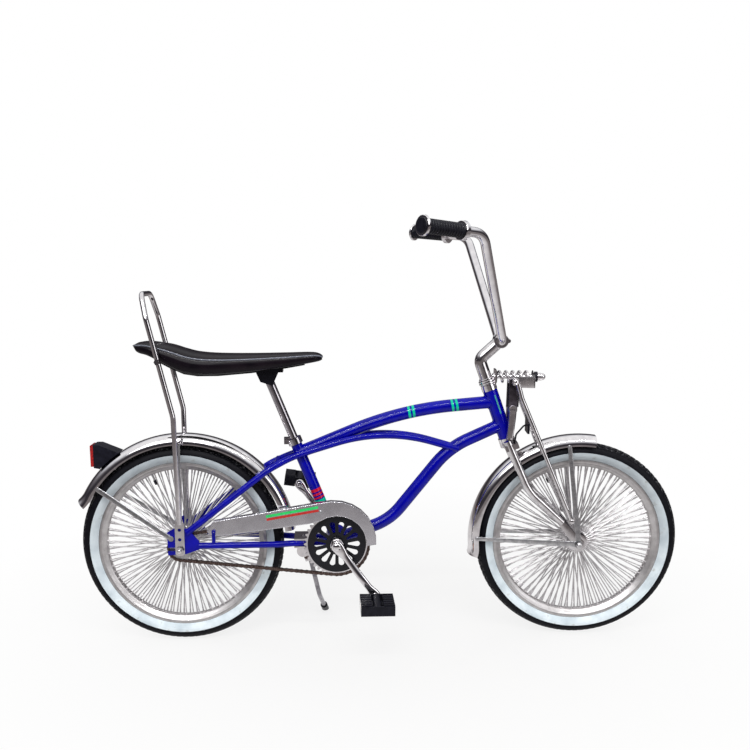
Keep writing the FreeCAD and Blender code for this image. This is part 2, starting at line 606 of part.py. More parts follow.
link = plate(A0, [(25.3, -106.9), (43.4, -106.9), (53.3, -7), (53.3, 69), (32.3, 69), (31.3, -7)], 21, 25)
link = biggest(cut(link, cyl(20.5, axp(-112), axp(-97.2)), crown_bar))
add_pair("link_plates", link, "fork")
add("link_sleeve", fuse([cyl(14.5, hp(45.3, 0, -5), hp(45.3, 0, 45)), ycyl(5, hp(43.3, 0, 3), -21, 21)]), "fork")

SPRING_Z = 71.0
yoke = fuse([box(A0, 38.3, 96.3, 16.6, 20.9, 45, 74), box(A0, 38.3, 96.3, -20.9, -16.6, 45, 74),
             box(A0, 92.3, 96.3, -20.9, 20.9, 45, 74), box(A0, 30.3, 57.3, -20.9, 20.9, 45, 49),
             ycyl(7, hp(47.3, 0, 61), 16.6, 32), ycyl(7, hp(47.3, 0, 61), -32, -16.6)])
spring_rod = cyl(5, hp(-3.7, 0, SPRING_Z), hp(120.3, 0, SPRING_Z))
add("yoke", biggest(cut(yoke, strut, mir(strut), link, mir(link), spring_rod)), "fork")

spring_bracket = fuse([ring(19, steer_r, axp(49), axp(55)), box(A0, -3.7, 0.3, -17, 17, 55, 90)])
spring_bracket = cut(spring_bracket, cyl(steer_r, axp(30), axp(90)), cyl(19.5, axp(30), axp(49)), spring_rod)
spring_bracket = biggest(spring_bracket)
add("spring_bracket", spring_bracket, "fork")
lock = fuse([cyl(17.5, axp(55), axp(62)), cyl(15, axp(62), axp(72))])
lock = biggest(cut(lock, cyl(SEAT_POST, axp(40), axp(90)), spring_bracket))
add("headset_nut", lock, "fork")

rod_head = cyl(8.5, hp(-8.7, 0, SPRING_Z), hp(-3.7, 0, SPRING_Z))
add("spring_bolt", biggest(fuse([spring_rod, rod_head]).cut(lock)), "fork")
acorn = fuse([cyl(9.5, hp(103.3, 0, SPRING_Z), hp(113.3, 0, SPRING_Z)),
              Part.makeSphere(8.5, hp(115.3, 0, SPRING_Z))])
add("spring_bolt", cut(acorn, cyl(13, hp(90, 0, SPRING_Z), hp(103.3, 0, SPRING_Z)), spring_rod), "fork")
# Seats of the spring: (outer radius, start, end)
for ro, x0, x1 in ((16, 0.3, 2.3), (16, 90.8, 92.3), (13, 96.3, 103.3)):
    add("spring_seats", ring(ro, 5, hp(x0, 0, SPRING_Z), hp(x1, 0, SPRING_Z)), "fork")

TURNS, STEPS, COIL_R, COIL_WIRE = 5, 12, 13.2, 3.2
coil = []
for k in range(TURNS * STEPS + 1):
    a = 2 * math.pi * k / STEPS
    x = 4.8 + 83.5 * k / (TURNS * STEPS)
    coil.append(hp(x, COIL_R * math.cos(a), SPRING_Z + COIL_R * math.sin(a)))
d = (coil[1] - coil[0]).normalize()
e1 = d.cross(V(1, 0, 0)).normalize()
e2 = d.cross(e1)
hexagon = [coil[0] + (e1 * math.cos(k * math.pi / 3) + e2 * math.sin(k * math.pi / 3)) * COIL_WIRE
           for k in range(7)]
coil_line = Part.Wire([Part.makeLine(p, q) for p, q in zip(coil, coil[1:])])
add("coil_spring", coil_line.makePipeShell([Part.makePolygon(hexagon)], True, True, 1), "fork")

# Stem, high-rise handlebar and grips
clamp_at = hp(9.3, 0, 162)
half_bar = [clamp_at + V(-210, 320, 269.5), clamp_at + V(-71, 206, 255), clamp_at + V(0, 42, 0)]
bar = sweep(half_bar + [V(p.x, -p.y, p.z) for p in half_bar[::-1]], [55, 42, 42, 55], SEAT_POST)
stem = sweep([axp(30), axp(122), clamp_at], [18], SEAT_POST)
pinch = Part.makeBox(12, 18, 17, V(-6, -9, -5)).translate(clamp_at + V(20, 0, -4))
sleeve = sweep([axp(72.3), axp(122), clamp_at], [20], 13.5)
stem = fuse([stem, sleeve, ycyl(18, clamp_at, -20, 20), pinch])
add("handlebar", bar, "fork")
add("stem", biggest(stem.cut(bar)), "fork")
bar_end = half_bar[0]
along = (bar_end - half_bar[1]).normalize()
grip = fuse([cyl(15.5, bar_end - along * 116, bar_end + along * 3),
             cyl(21, bar_end - along * 116, bar_end - along * 112),
             cyl(20, bar_end - along * 5, bar_end)])
add_pair("grips", grip.cut(cyl(SEAT_POST, bar_end - along * 130, bar_end)), "fork")

# Front axle and the front fender's stays
nut = hexnut(15, FH, FDO + 7, FDO + 15).cut(ycyl(AXLE_F, FH, FDO - 5, FDO + 25))
add("front_axle", ycyl(AXLE_F, FH, -FDO - 21, FDO + 21), "fork")
add_pair("front_axle", nut, "fork")
add_pair("front_axle", ring(9, AXLE_F, fp(0, FDO - 3.5, 0), fp(0, FDO, 0)), "fork")
hub_tools = [front_fender, ycyl(AXLE_F, FH, FDO - 5, FDO + 15), hexnut(15, FH, FDO + 7, FDO + 15), fork_end]
hub_eye = fp(0, FDO + 6, 0)
stay_low = fender_stay(polar(FH, 178.7, FFO - 19.3, 33.5), fp(-6, FDO + 6, 0), hub_eye, 8,
                       hub_tools + [blade, strut])
stay_high = fender_stay(polar(FH, 97.0, FFO - 24.1, 33.5), fp(0, FDO + 6, 6), hub_eye, 8,
                        hub_tools + [stay_low, strut])
add_pair("front_fender_stays", stay_low, "fork")
add_pair("front_fender_stays", stay_high, "fork")

# Fender bracket under the crown, and the reflector on its stalk
tab_a = hp(42.3, 0, -104)
tab_dir = FH - tab_a
tab_len = tab_dir.Length - FFO + 2
tab_dir.normalize()
tab_side = V(tab_dir.z, 0, -tab_dir.x) * 4.5
tab_b = tab_a + tab_dir * tab_len
fender_tab = prism([p + V(0, -10, 0) for p in (tab_a + tab_side, tab_a - tab_side, tab_b - tab_side,
                                               tab_b + tab_side)], V(0, 20, 0))
fender_tab = biggest(cut(fender_tab, crown, cyl(steer_r, axp(-130), axp(-90)), front_fender))
add("steerer", fender_tab, "fork")
stalk = sweep([axp(-106, 19), hp(56.3, 0, -77), hp(74.3, 0, -55), hp(84.3, 0, -50)], [14, 10], 2.2)
stalk = fuse([stalk, box(A0, 81.3, 86.3, -24, 24, -71, -27)])
add("reflector_front", biggest(cut(stalk, crown)), "fork")


def place(s, body):
    """Bring an upright piece into the parked pose."""
    s = s.copy()
    if body in ("fork", "front_wheel"):
        s.rotate(A0, U, STEER)
    s.rotate(V(0, 0, 0), V(1, 0, 0), -LEAN)
    s.rotate(V(RHX, 0, 0), Y, PITCH)
    s.translate(V(*SHIFT))
    return s


for name, (shapes, body) in nodes.items():
    s = shapes[0] if len(shapes) == 1 else shapes[0].multiFuse(shapes[1:])
    s = place(s, body)
    if s.ShapeType == "Compound" and len(s.Solids) == 1:
        s = s.Solids[0]
    print(name, len(s.Solids), s.isValid(), round(s.Volume / 1000, 2), len(s.Faces))
    s.exportStep("parts/" + name + ".step")
print(len(nodes), "nodes")
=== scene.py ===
import json
import math

import bmesh
import bpy
from mathutils import Matrix, Vector


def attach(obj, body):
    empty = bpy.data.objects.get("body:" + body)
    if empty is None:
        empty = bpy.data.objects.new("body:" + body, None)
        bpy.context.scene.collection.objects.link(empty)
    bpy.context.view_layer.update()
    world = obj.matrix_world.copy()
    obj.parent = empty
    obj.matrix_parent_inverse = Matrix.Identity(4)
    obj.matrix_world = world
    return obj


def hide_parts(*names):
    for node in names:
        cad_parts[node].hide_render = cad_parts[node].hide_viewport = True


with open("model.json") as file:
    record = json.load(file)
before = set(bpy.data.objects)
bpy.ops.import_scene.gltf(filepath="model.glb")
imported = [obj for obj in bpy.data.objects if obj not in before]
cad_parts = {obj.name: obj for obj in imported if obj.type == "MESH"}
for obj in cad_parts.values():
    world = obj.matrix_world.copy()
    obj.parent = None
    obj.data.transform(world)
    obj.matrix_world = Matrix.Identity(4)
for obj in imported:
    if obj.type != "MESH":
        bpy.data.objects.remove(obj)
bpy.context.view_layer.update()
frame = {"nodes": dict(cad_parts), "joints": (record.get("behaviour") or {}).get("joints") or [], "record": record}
NODES = frame["nodes"]
SLOTS = {s["node"]: s["material_slot"] for s in frame["record"]["subparts"]}

# Camera fitted to the wheels and frame of the photograph, in pixels and metres
IMAGE = 750
FOCAL_PX = 853.22
CENTRE_PX = (353.65, 429.93)
CAM_AT = (-0.14290, -2.12438, 1.06976)
CAM_DOWN = 14.13
CAM_YAW = -2.08

# Driving sizes in mm, as in the solids
R = 256.0
CHAIN_LINE = 46.0
TEETH_BIG, TEETH_SMALL = 40, 16
BOTTOM_BRACKET = Vector((390.7, 0, 4.9))
POST_TOP = Vector((218.4, 0, 433.6))
STEER_POINT = Vector((-216.9, 0, 351.0))
HEAD_POINT = Vector((792.3, 0, 351.0))
HEAD_R = 18.2
REAR_FENDER_CENTRE = Vector((5.0, 0, 2.0))
TILT = math.radians(20.0)
# Directions on the upright bicycle: to its left, and up the steering axis
CROSS = Vector((0, 1, 0))
STEER_UP = Vector((-math.sin(TILT), 0, math.cos(TILT)))


def joint(name):
    j = next(q for q in frame["joints"] if q["name"] == name)
    return Vector(j["pos_m"]), Vector(j["axis"]).normalized()


def axes(x, y, z, at):
    """Matrix from mm in a local frame to metres in the row frame."""
    m = Matrix((x, y, z)).transposed().to_4x4()
    m.translation = at
    return m @ Matrix.Scale(0.001, 4)


REAR_HUB, AXLE = joint("rear_wheel_spin")
FRONT_HUB, FRONT_AXLE = joint("front_wheel_spin")
CRANK_AT = joint("crank_spin")[0]
STEER_AXIS = joint("steering")[1]
forward = (CRANK_AT - REAR_HUB) - AXLE * (CRANK_AT - REAR_HUB).dot(AXLE)
forward.normalize()
raised = AXLE.cross(forward) * -1
rise = math.atan2(BOTTOM_BRACKET.z, BOTTOM_BRACKET.x)
AHEAD = forward * math.cos(rise) - raised * math.sin(rise)
# Upright bicycle frames: one at the rear hub, one that steers, at the front hub
BIKE = axes(AHEAD, AXLE, AHEAD.cross(AXLE), REAR_HUB)
normal = FRONT_AXLE.cross(STEER_AXIS)
FORK = axes(normal * math.cos(TILT) - STEER_AXIS * math.sin(TILT), FRONT_AXLE,
            normal * math.sin(TILT) + STEER_AXIS * math.cos(TILT), FRONT_HUB)


# Mesh helpers: local points in mm
HARD_EDGE = math.radians(40)


def make(name, shape, matrix, body, material, angle=35.0, bevel=0.0):
    """Object from a Mesh, riding on a body, shaded smooth up to an angle in degrees."""
    me = bpy.data.meshes.new(name)
    me.from_pydata([tuple(v) for v in shape.v], [], shape.f)
    me.validate()
    bm = bmesh.new()
    bm.from_mesh(me)
    bmesh.ops.recalc_face_normals(bm, faces=bm.faces)
    if bevel:
        hard = [e for e in bm.edges if len(e.link_faces) == 2 and e.calc_face_angle() > HARD_EDGE]
        bmesh.ops.bevel(bm, geom=hard, offset=bevel, segments=2, profile=0.6, affect="EDGES")
    bm.to_mesh(me)
    bm.free()
    me.transform(Matrix.Scale(0.001, 4))
    me.shade_smooth()
    me.set_sharp_from_angle(angle=math.radians(angle))
    me.materials.append(material)
    obj = bpy.data.objects.new(name, me)
    bpy.context.scene.collection.objects.link(obj)
    obj.matrix_world = matrix @ Matrix.Scale(1000.0, 4)
    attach(obj, body)
    return obj


def ray(a):
    """Unit vector at an angle in the plane of the wheels."""
    return Vector((math.cos(a), 0, math.sin(a)))


def mirrored(pts):
    return [Vector((p.x, -p.y, p.z)) for p in pts]


# Each side of the bicycle, with what takes points of the left side there
SIDES = ((1, list), (-1, mirrored))


def circle(c, r, y, sides):
    """Points round a centre's Y axis."""
    return [Vector((c[0], y, c[2])) + ray(2 * math.pi * k / sides) * r for k in range(sides)]


def squared(a, b):
    """Points round a square with soft corners: half widths a and b, both vectors."""
    out = []
    for p in circle((0, 0, 0), 1.0, 0, 24):
        out.append(a * math.copysign(abs(p.x) ** 0.7, p.x) + b * math.copysign(abs(p.z) ** 0.7, p.z))
    return out


def tube_rows(path, radius, sides, closed=False):
    """Rings of points along a path, carried without twist."""
    n = len(path)
    rows = []
    up = None
    for i, p in enumerate(path):
        a = path[(i - 1) % n] if closed or i else path[0]
        b = path[(i + 1) % n] if closed or i < n - 1 else path[-1]
        d = (b - a).normalized()
        if up is None:
            up = d.orthogonal().normalized()
        up = (up - d * up.dot(d)).normalized()
        side = d.cross(up)
        r = radius(i / (n - 1)) if callable(radius) else radius
        rows.append([p + (up * math.cos(t) + side * math.sin(t)) * r
                     for t in (2 * math.pi * k / sides for k in range(sides))])
    return rows


def bent(pts, radii, step=9.0):
    """Path through corner points with a round bend at each inner one."""
    out = [pts[0]]
    for a, b, c, r in zip(pts, pts[1:], pts[2:], radii):
        u, v = (a - b).normalized(), (c - b).normalized()
        half = u.angle(v) / 2
        centre = b + (u + v).normalized() * (r / math.sin(half))
        w0 = b + u * (r / math.tan(half)) - centre
        w1 = b + v * (r / math.tan(half)) - centre
        turn = w0.angle(w1)
        n = max(4, int(r * turn / step))
        for k in range(n + 1):
            w = w0 * math.sin((1 - k / n) * turn) + w1 * math.sin(k / n * turn)
            out.append(centre + w / math.sin(turn))
    out.append(pts[-1])
    fine = [out[0]]
    for q in out[1:]:
        p = fine[-1]
        n = max(1, int((q - p).length / step / 1.5))
        fine += [p.lerp(q, k / n) for k in range(1, n + 1)]
    return fine


def mitre(row, d, at, axis, r):
    """A ring's points slid along d on to the wall of a round tube."""
    out = []
    for p in row:
        w = p - at
        w -= axis * w.dot(axis)
        e = d - axis * d.dot(axis)
        a, b, c = e.dot(e), w.dot(e), w.dot(w) - r * r
        out.append(p + d * ((-b - math.sqrt(max(b * b - a * c, 0.0))) / a))
    return out


class Mesh:
    """Vertices and faces gathered from several shapes."""

    def __init__(self):
        self.v = []
        self.f = []

    def grid(self, rows, close_u=False, close_v=False, caps=False):
        """Rows of points joined to a sheet, closed round either way on request."""
        base, n, m = len(self.v), len(rows), len(rows[0])
        for row in rows:
            self.v.extend(row)
        for i in range(n if close_u else n - 1):
            for j in range(m if close_v else m - 1):
                a, b = i * m, ((i + 1) % n) * m
                k = (j + 1) % m
                self.f.append([base + a + j, base + a + k, base + b + k, base + b + j])
        if caps:
            self.f.append([base + j for j in range(m)][::-1])
            self.f.append([base + (n - 1) * m + j for j in range(m)])

    def lathe(self, profile, segs, deg=360.0, start=0.0, closed=True):
        """Profile of (radius, y) turned about the local Y axis."""
        rows = []
        for i in range(segs if deg == 360.0 else segs + 1):
            a = math.radians(start + deg * i / segs)
            rows.append([ray(a) * r + CROSS * y for r, y in profile])
        self.grid(rows, close_u=deg == 360.0, close_v=closed, caps=closed and deg != 360.0)

    def tube(self, path, radius, sides=12, closed=False):
        """Round tube along points."""
        self.grid(tube_rows(path, radius, sides, closed), close_u=closed, close_v=True, caps=not closed)

    def plate(self, outline, y0, y1):
        """Flat plate: outline of (x, z) between two Y faces."""
        self.grid([[Vector((x, y, z)) for x, z in outline] for y in (y0, y1)], close_v=True, caps=True)

    def bar(self, a, b, r, sides=12, bevel=0.0):
        """Straight round bar with bevelled ends."""
        d = (b - a).normalized()
        if bevel:
            self.tube([a, a + d * bevel, b - d * bevel, b],
                      lambda t: r - (bevel if t in (0.0, 1.0) else 0.0), sides)
        else:
            self.tube([a, b], r, sides)

    def pin(self, c, y0, y1, r, sides=12, bevel=0.0):
        """Round bar along Y through a centre."""
        self.bar(Vector((c[0], y0, c[2])), Vector((c[0], y1, c[2])), r, sides, bevel)

    def nut(self, c, af, y0, y1):
        """Chamfered hexagon nut on a Y axis."""
        r = af / math.sqrt(3)
        s = 1 if y1 > y0 else -1
        rows = [circle(c, r * k, y, 6)
                for y, k in ((y0, 0.93), (y0 + s * 0.8, 1.0), (y1 - s * 0.8, 1.0), (y1, 0.93))]
        self.grid(rows, close_v=True, caps=True)

    def dome(self, c, r, y0, height, segs=20):
        """Round cap on a Y axis, from a flat foot to its crown."""
        rows = []
        for k in range(7):
            a = math.pi / 2 * k / 6.5
            rows.append(circle(c, r * math.cos(a), y0 + height * math.sin(a), segs))
        self.grid(rows, close_v=True, caps=True)

    def moved(self, matrix):
        self.v = [matrix @ v for v in self.v]
        return self


def arc(cx, cy, r, a0, a1, n):
    """Points of an arc, angles in degrees."""
    return [(cx + r * math.cos(math.radians(a0 + (a1 - a0) * k / n)),
             cy + r * math.sin(math.radians(a0 + (a1 - a0) * k / n))) for k in range(n + 1)]


def smooth_line(pts, steps):
    """Curve through the points, with the given steps a span."""
    out = []
    n = len(pts)
    for i in range(n - 1):
        p0, p1, p2, p3 = pts[max(i - 1, 0)], pts[i], pts[i + 1], pts[min(i + 2, n - 1)]
        for k in range(steps):
            t = k / steps
            out.append([0.5 * (2 * b + (c - a) * t + (2 * a - 5 * b + 4 * c - d) * t ** 2
                               + (3 * b - a - 3 * c + d) * t ** 3)
                        for a, b, c, d in zip(p0, p1, p2, p3)])
    out.append(list(pts[-1]))
    return out


# Materials
def node_tree(name):
    m = bpy.data.materials.new(name)
    m.use_nodes = True
    return m, m.node_tree, m.node_tree.nodes["Principled BSDF"]


def new(t, kind):
    return t.nodes.new("ShaderNode" + kind)


def put(n, **values):
    """Set a node's inputs, with _ for each space in a name."""
    for key, value in values.items():
        n.inputs[key.replace("_", " ")].default_value = value


def place(t):
    """Point on the object, in metres."""
    return new(t, "TexCoord").outputs["Object"]


def math_node(t, op, a, b=None, clamp=False):
    n = new(t, "Math")
    n.operation = op
    n.use_clamp = clamp
    for i, q in enumerate((a, b)):
        if q is None:
            continue
        if isinstance(q, (int, float)):
            n.inputs[i].default_value = q
        else:
            t.links.new(q, n.inputs[i])
    return n.outputs[0]


def noise(t, scale, detail=3.0):
    n = new(t, "TexNoise")
    put(n, Scale=scale, Detail=detail)
    t.links.new(place(t), n.inputs["Vector"])
    return n.outputs["Fac"]


def ramp(t, source, stops):
    r = new(t, "ValToRGB")
    e = r.color_ramp.elements
    while len(e) < len(stops):
        e.new(0.5)
    for k, (pos, col) in enumerate(stops):
        e[k].position = pos
        e[k].color = (*col, 1.0)
    t.links.new(source, r.inputs["Fac"])
    return r.outputs["Color"]


def greys(t, source, low, high, start=0.3, end=0.7):
    """Ramp between two greys."""
    return ramp(t, source, ((start, (low,) * 3), (end, (high,) * 3)))


def tones(t, scale, light, dark):
    """Cloudy mix of two colours."""
    return ramp(t, noise(t, scale), ((0.3, dark), (0.7, light)))


def cells(t, scale, metric="EUCLIDEAN"):
    """Distance to the middle of each cell of an irregular mosaic."""
    n = new(t, "TexVoronoi")
    put(n, Scale=scale)
    n.distance = metric
    t.links.new(place(t), n.inputs["Vector"])
    return n.outputs["Distance"]


def bump(t, b, height, strength, distance=0.0005, edge=0.0):
    """Fine relief, with edges rounded by the given radius in metres on request."""
    n = new(t, "Bump")
    if edge:
        soft = new(t, "Bevel")
        soft.samples = 6
        put(soft, Radius=edge)
        t.links.new(soft.outputs["Normal"], n.inputs["Normal"])
    put(n, Strength=strength, Distance=distance)
    t.links.new(height, n.inputs["Height"])
    t.links.new(n.outputs["Normal"], b.inputs["Normal"])


def mix_colour(t, fac, a, b):
    n = new(t, "Mix")
    n.data_type = "RGBA"
    for socket, q in (("Factor", fac), ("A", a), ("B", b)):
        target = next(s for s in n.inputs
                      if s.name == socket and (s.type == "RGBA" or socket == "Factor"))
        if isinstance(q, tuple):
            target.default_value = (*q, 1.0)
        else:
            t.links.new(q, target)
    return next(s for s in n.outputs if s.type == "RGBA")


def metal(name, light, dark, rough, scale=60.0, spots=0.0, edge=0.0):
    """Plated or bare metal: cloudy tone, uneven polish, and a few dull spots on request."""
    m, t, b = node_tree(name)
    put(b, Metallic=1.0)
    cloud = noise(t, scale)
    colour = ramp(t, cloud, ((0.35, dark), (0.65, light)))
    fine = noise(t, scale * 14, 5.0)
    if spots:
        colour = mix_colour(t, greys(t, fine, 0, spots, 0.66, 0.72), colour, (0.16, 0.13, 0.11))
    t.links.new(colour, b.inputs["Base Color"])
    t.links.new(greys(t, fine, rough * 0.7, rough * 1.5), b.inputs["Roughness"])
    bump(t, b, fine, 0.04, edge=edge)
    return m


def finish(name, light, dark, rough, coat=0.0, scale=80.0, grain=0.05, specular=0.4):
    """Paint, plastic or rubber: two tones, a fine grain, and a clear coat on request."""
    m, t, b = node_tree(name)
    t.links.new(tones(t, scale, light, dark), b.inputs["Base Color"])
    fine = noise(t, 900.0, 5.0)
    t.links.new(greys(t, fine, rough * 0.8, rough * 1.25), b.inputs["Roughness"])
    bump(t, b, fine, grain)
    put(b, Specular_IOR_Level=specular, Coat_Weight=coat, Coat_Roughness=0.03)
    return m


BLUE_LIGHT, BLUE_DARK = (0.0005, 0.001, 0.33), (0.0003, 0.0006, 0.21)
GREEN, RED = (0.0, 0.48, 0.28), (0.52, 0.006, 0.03)


def stripe_mask(t, at, direction, start, end, frame_matrix):
    """1 between two planes square to a direction, given in mm of the bicycle's own frame."""
    sub = new(t, "VectorMath")
    sub.operation = "SUBTRACT"
    sub.inputs[1].default_value = frame_matrix @ Vector(at)
    t.links.new(place(t), sub.inputs[0])
    dot = new(t, "VectorMath")
    dot.operation = "DOT_PRODUCT"
    dot.inputs[1].default_value = (frame_matrix.to_3x3() @ Vector(direction)).normalized()
    t.links.new(sub.outputs["Vector"], dot.inputs[0])
    above = math_node(t, "GREATER_THAN", dot.outputs["Value"], start / 1000)
    below = math_node(t, "LESS_THAN", dot.outputs["Value"], end / 1000)
    return math_node(t, "MULTIPLY", above, below)


def paint(name, bands=(), frame_matrix=BIKE):
    """Blue enamel with coloured bands: (point, direction, [(start, end, colour)])."""
    m, t, b = node_tree(name)
    colour = tones(t, 30.0, BLUE_LIGHT, BLUE_DARK)
    for at, direction, spans in bands:
        for start, end, tint in spans:
            mask = stripe_mask(t, at, direction, start, end, frame_matrix)
            colour = mix_colour(t, mask, colour, tint)
    t.links.new(colour, b.inputs["Base Color"])
    fine = noise(t, 700.0, 5.0)
    t.links.new(greys(t, fine, 0.2, 0.3), b.inputs["Roughness"])
    bump(t, b, fine, 0.012)
    put(b, Specular_IOR_Level=0.04, Coat_Weight=0.45, Coat_Roughness=0.04)
    return m


# White band on the tyre's wall and edge of its tread, as depths below the crown
BAND_OUTER, BAND_INNER, TREAD_EDGE = 23.2, 43.0, 7.5
# Painted shade on the white band, greyer towards the top of the parked wheel where the fender
# shades it: its share at the hub's height, how much that grows a metre up,
# and the most
SHADE_SHARE, SHADE_RISE, SHADE_MOST = 0.30, 1.6, 0.62


def tyre_material():
    """Black rubber with a white band on the wall, told apart by the radius."""
    m, t, b = node_tree("tyre_rubber")
    xyz = new(t, "SeparateXYZ")
    t.links.new(place(t), xyz.inputs[0])
    x2 = math_node(t, "MULTIPLY", xyz.outputs["X"], xyz.outputs["X"])
    z2 = math_node(t, "MULTIPLY", xyz.outputs["Z"], xyz.outputs["Z"])
    radius = math_node(t, "SQRT", math_node(t, "ADD", x2, z2))
    black = tones(t, 60.0, (0.005, 0.005, 0.008), (0.002, 0.002, 0.004))
    white = ramp(t, noise(t, 22.0), ((0.3, (0.56, 0.64, 0.69)), (0.6, (0.78, 0.86, 0.90))))
    dirt = greys(t, noise(t, 45.0, 6.0), 0, 0.7, 0.62, 0.74)
    white = mix_colour(t, dirt, white, (0.30, 0.27, 0.22))
    # Painted shade: the white band greys towards the top of the wheel, fixed in the wheel's own frame
    painted_shade = math_node(t, "MULTIPLY_ADD", xyz.outputs["Z"], SHADE_RISE)
    painted_shade.node.inputs[2].default_value = SHADE_SHARE
    painted_shade = math_node(t, "MINIMUM", math_node(t, "MAXIMUM", painted_shade, 0.0), SHADE_MOST)
    white = mix_colour(t, painted_shade, white, (0.24, 0.26, 0.28))
    outer = math_node(t, "LESS_THAN", radius, (R - BAND_OUTER) / 1000)
    inner = math_node(t, "GREATER_THAN", radius, (R - BAND_INNER) / 1000)
    dust = greys(t, noise(t, 160.0, 6.0), 0, 0.55, 0.52, 0.66)
    tread = math_node(t, "GREATER_THAN", radius, (R - TREAD_EDGE) / 1000)
    black = mix_colour(t, math_node(t, "MULTIPLY", dust, tread), black, (0.16, 0.16, 0.17))
    colour = mix_colour(t, math_node(t, "MULTIPLY", outer, inner), black, white)
    t.links.new(colour, b.inputs["Base Color"])
    fine = noise(t, 1400.0, 5.0)
    t.links.new(greys(t, fine, 0.42, 0.62), b.inputs["Roughness"])
    bump(t, b, fine, 0.12)
    put(b, Specular_IOR_Level=0.12)
    return m


def vinyl():
    """Black vinyl with a pebbled grain."""
    m, t, b = node_tree("saddle_vinyl")
    t.links.new(tones(t, 30.0, (0.008, 0.005, 0.008), (0.003, 0.002, 0.004)), b.inputs["Base Color"])
    bump(t, b, cells(t, 900.0), 0.12, 0.0004)
    t.links.new(greys(t, noise(t, 120.0), 0.30, 0.42), b.inputs["Roughness"])
    put(b, Specular_IOR_Level=0.05, Coat_Weight=0.18, Coat_Roughness=0.12)
    return m


def lens(name, light, dark):
    """Coloured clear plastic over a prism pattern."""
    m, t, b = node_tree(name)
    prisms = cells(t, 320.0, "CHEBYCHEV")
    t.links.new(ramp(t, prisms, ((0.1, light), (0.6, dark))), b.inputs["Base Color"])
    put(b, Roughness=0.12, Coat_Weight=1.0)
    bump(t, b, prisms, 0.4)
    return m


SEAT_TILT = math.radians(21.9)
SEAT_UP = Vector((-math.sin(SEAT_TILT), 0, math.cos(SEAT_TILT)))
TOP_TUBE_AT = (504.6, 0, 335.0)
TOP_TUBE_ALONG = (0.985, 0, 0.174)
# Bands of paint round the tubes: (start, end, colour) along each
TOP_TUBE_RINGS = [(at, at + 6, GREEN) for at in (66, 77, 176, 187)]
SEAT_TUBE_BANDS = [(106, 115, GREEN), (118, 123, RED), (127, 133, RED), (137, 145, RED)]

MAT = {
    "frame_paint": paint("blue_enamel"),
    "top_tube": paint("blue_enamel_ringed", [(TOP_TUBE_AT, TOP_TUBE_ALONG, TOP_TUBE_RINGS)],
                      Matrix.Scale(0.001, 4)),
    "seat_tube": paint("blue_enamel_banded", [(BOTTOM_BRACKET, SEAT_UP, SEAT_TUBE_BANDS)]),
    "chrome": metal("chrome", (0.84, 0.82, 0.83), (0.70, 0.68, 0.70), 0.06),
    "fork_chrome": metal("worn_chrome", (0.74, 0.72, 0.73), (0.54, 0.52, 0.53), 0.12, 60.0, 0.6),
    "guard_chrome": metal("brushed_chrome", (0.76, 0.75, 0.79), (0.62, 0.61, 0.65), 0.24, 24.0,
                          edge=0.003),
    "steel": metal("zinc_steel", (0.62, 0.62, 0.63), (0.42, 0.42, 0.44), 0.3, 90.0, 0.4),
    "rim": metal("rim_steel", (0.64, 0.62, 0.62), (0.52, 0.50, 0.50), 0.36),
    "spoke": metal("spoke_steel", (0.72, 0.70, 0.71), (0.54, 0.52, 0.53), 0.42, 200.0),
    # Painted shade: a darkened copy of chrome, for the link cheeks that sit in shade
    "dark_chrome": metal("dark_chrome", (0.22, 0.20, 0.24), (0.10, 0.09, 0.11), 0.16, 70.0, 0.5),
    "yoke_chrome": metal("yoke_chrome", (0.86, 0.84, 0.85), (0.70, 0.68, 0.69), 0.22, 60.0, 0.5),
    # Painted shade: a darker copy of chrome for the seat post, standing in for its dark reflections
    "shaded_post_chrome": metal("shaded_post_chrome", (0.52, 0.50, 0.53), (0.38, 0.36, 0.39), 0.10),
    "stand_steel": metal("stand_steel", (0.36, 0.35, 0.37), (0.20, 0.19, 0.21), 0.28, 90.0, 0.4),
    "tyre": tyre_material(),
    "rubber": finish("grip_rubber", (0.008, 0.008, 0.014), (0.003, 0.003, 0.006), 0.4,
                     0.0, 120.0, 0.12, 0.2),
    "saddle_vinyl": vinyl(),
    # Painted highlight: the piping's pale blue-grey tone stands in for the highlight along the saddle's upper edge
    "piping": finish("piping_painted_highlight", (0.16, 0.17, 0.21), (0.10, 0.11, 0.14), 0.28, 0.5),
    "black_paint": finish("black_enamel", (0.006, 0.006, 0.010), (0.003, 0.003, 0.005), 0.25,
                          0.3, 80.0, 0.04, 0.2),
    "black_plastic": finish("black_plastic", (0.010, 0.010, 0.018), (0.004, 0.004, 0.008), 0.35,
                            0.0, 90.0, 0.1, 0.2),
    "chain_steel": metal("chain_steel", (0.20, 0.145, 0.13), (0.06, 0.04, 0.035), 0.38, 300.0, 0.6),
    "red_lens": lens("red_lens", (0.55, 0.012, 0.010), (0.22, 0.003, 0.004)),
    "amber_reflector": lens("amber_reflector", (0.9, 0.26, 0.015), (0.5, 0.10, 0.005)),
    "stripe_green": finish("green_film", (0.02, 0.62, 0.14), (0.01, 0.50, 0.10), 0.3, 0.5),
    "stripe_red": finish("red_film", (0.52, 0.02, 0.01), (0.40, 0.012, 0.008), 0.3, 0.5),
    "line_green": finish("green_line", (0.0, 0.24, 0.25), (0.0, 0.18, 0.19), 0.3, 0.3),
}
# CAD nodes that show and take another finish than their slot's
SPECIAL = {"seat_tube": "seat_tube", "steerer": "fork_chrome", "chain_guard": "guard_chrome",
           "saddle_clamp": "black_paint", "saddle_pan": "black_paint", "stand_leg": "stand_steel",
           "seat_post": "shaded_post_chrome"}


def dress_nodes():
    for name, obj in NODES.items():
        mat = MAT[SPECIAL.get(name, SLOTS[name])]
        if not obj.material_slots:
            obj.data.materials.append(mat)
        for s in obj.material_slots:
            s.material = mat


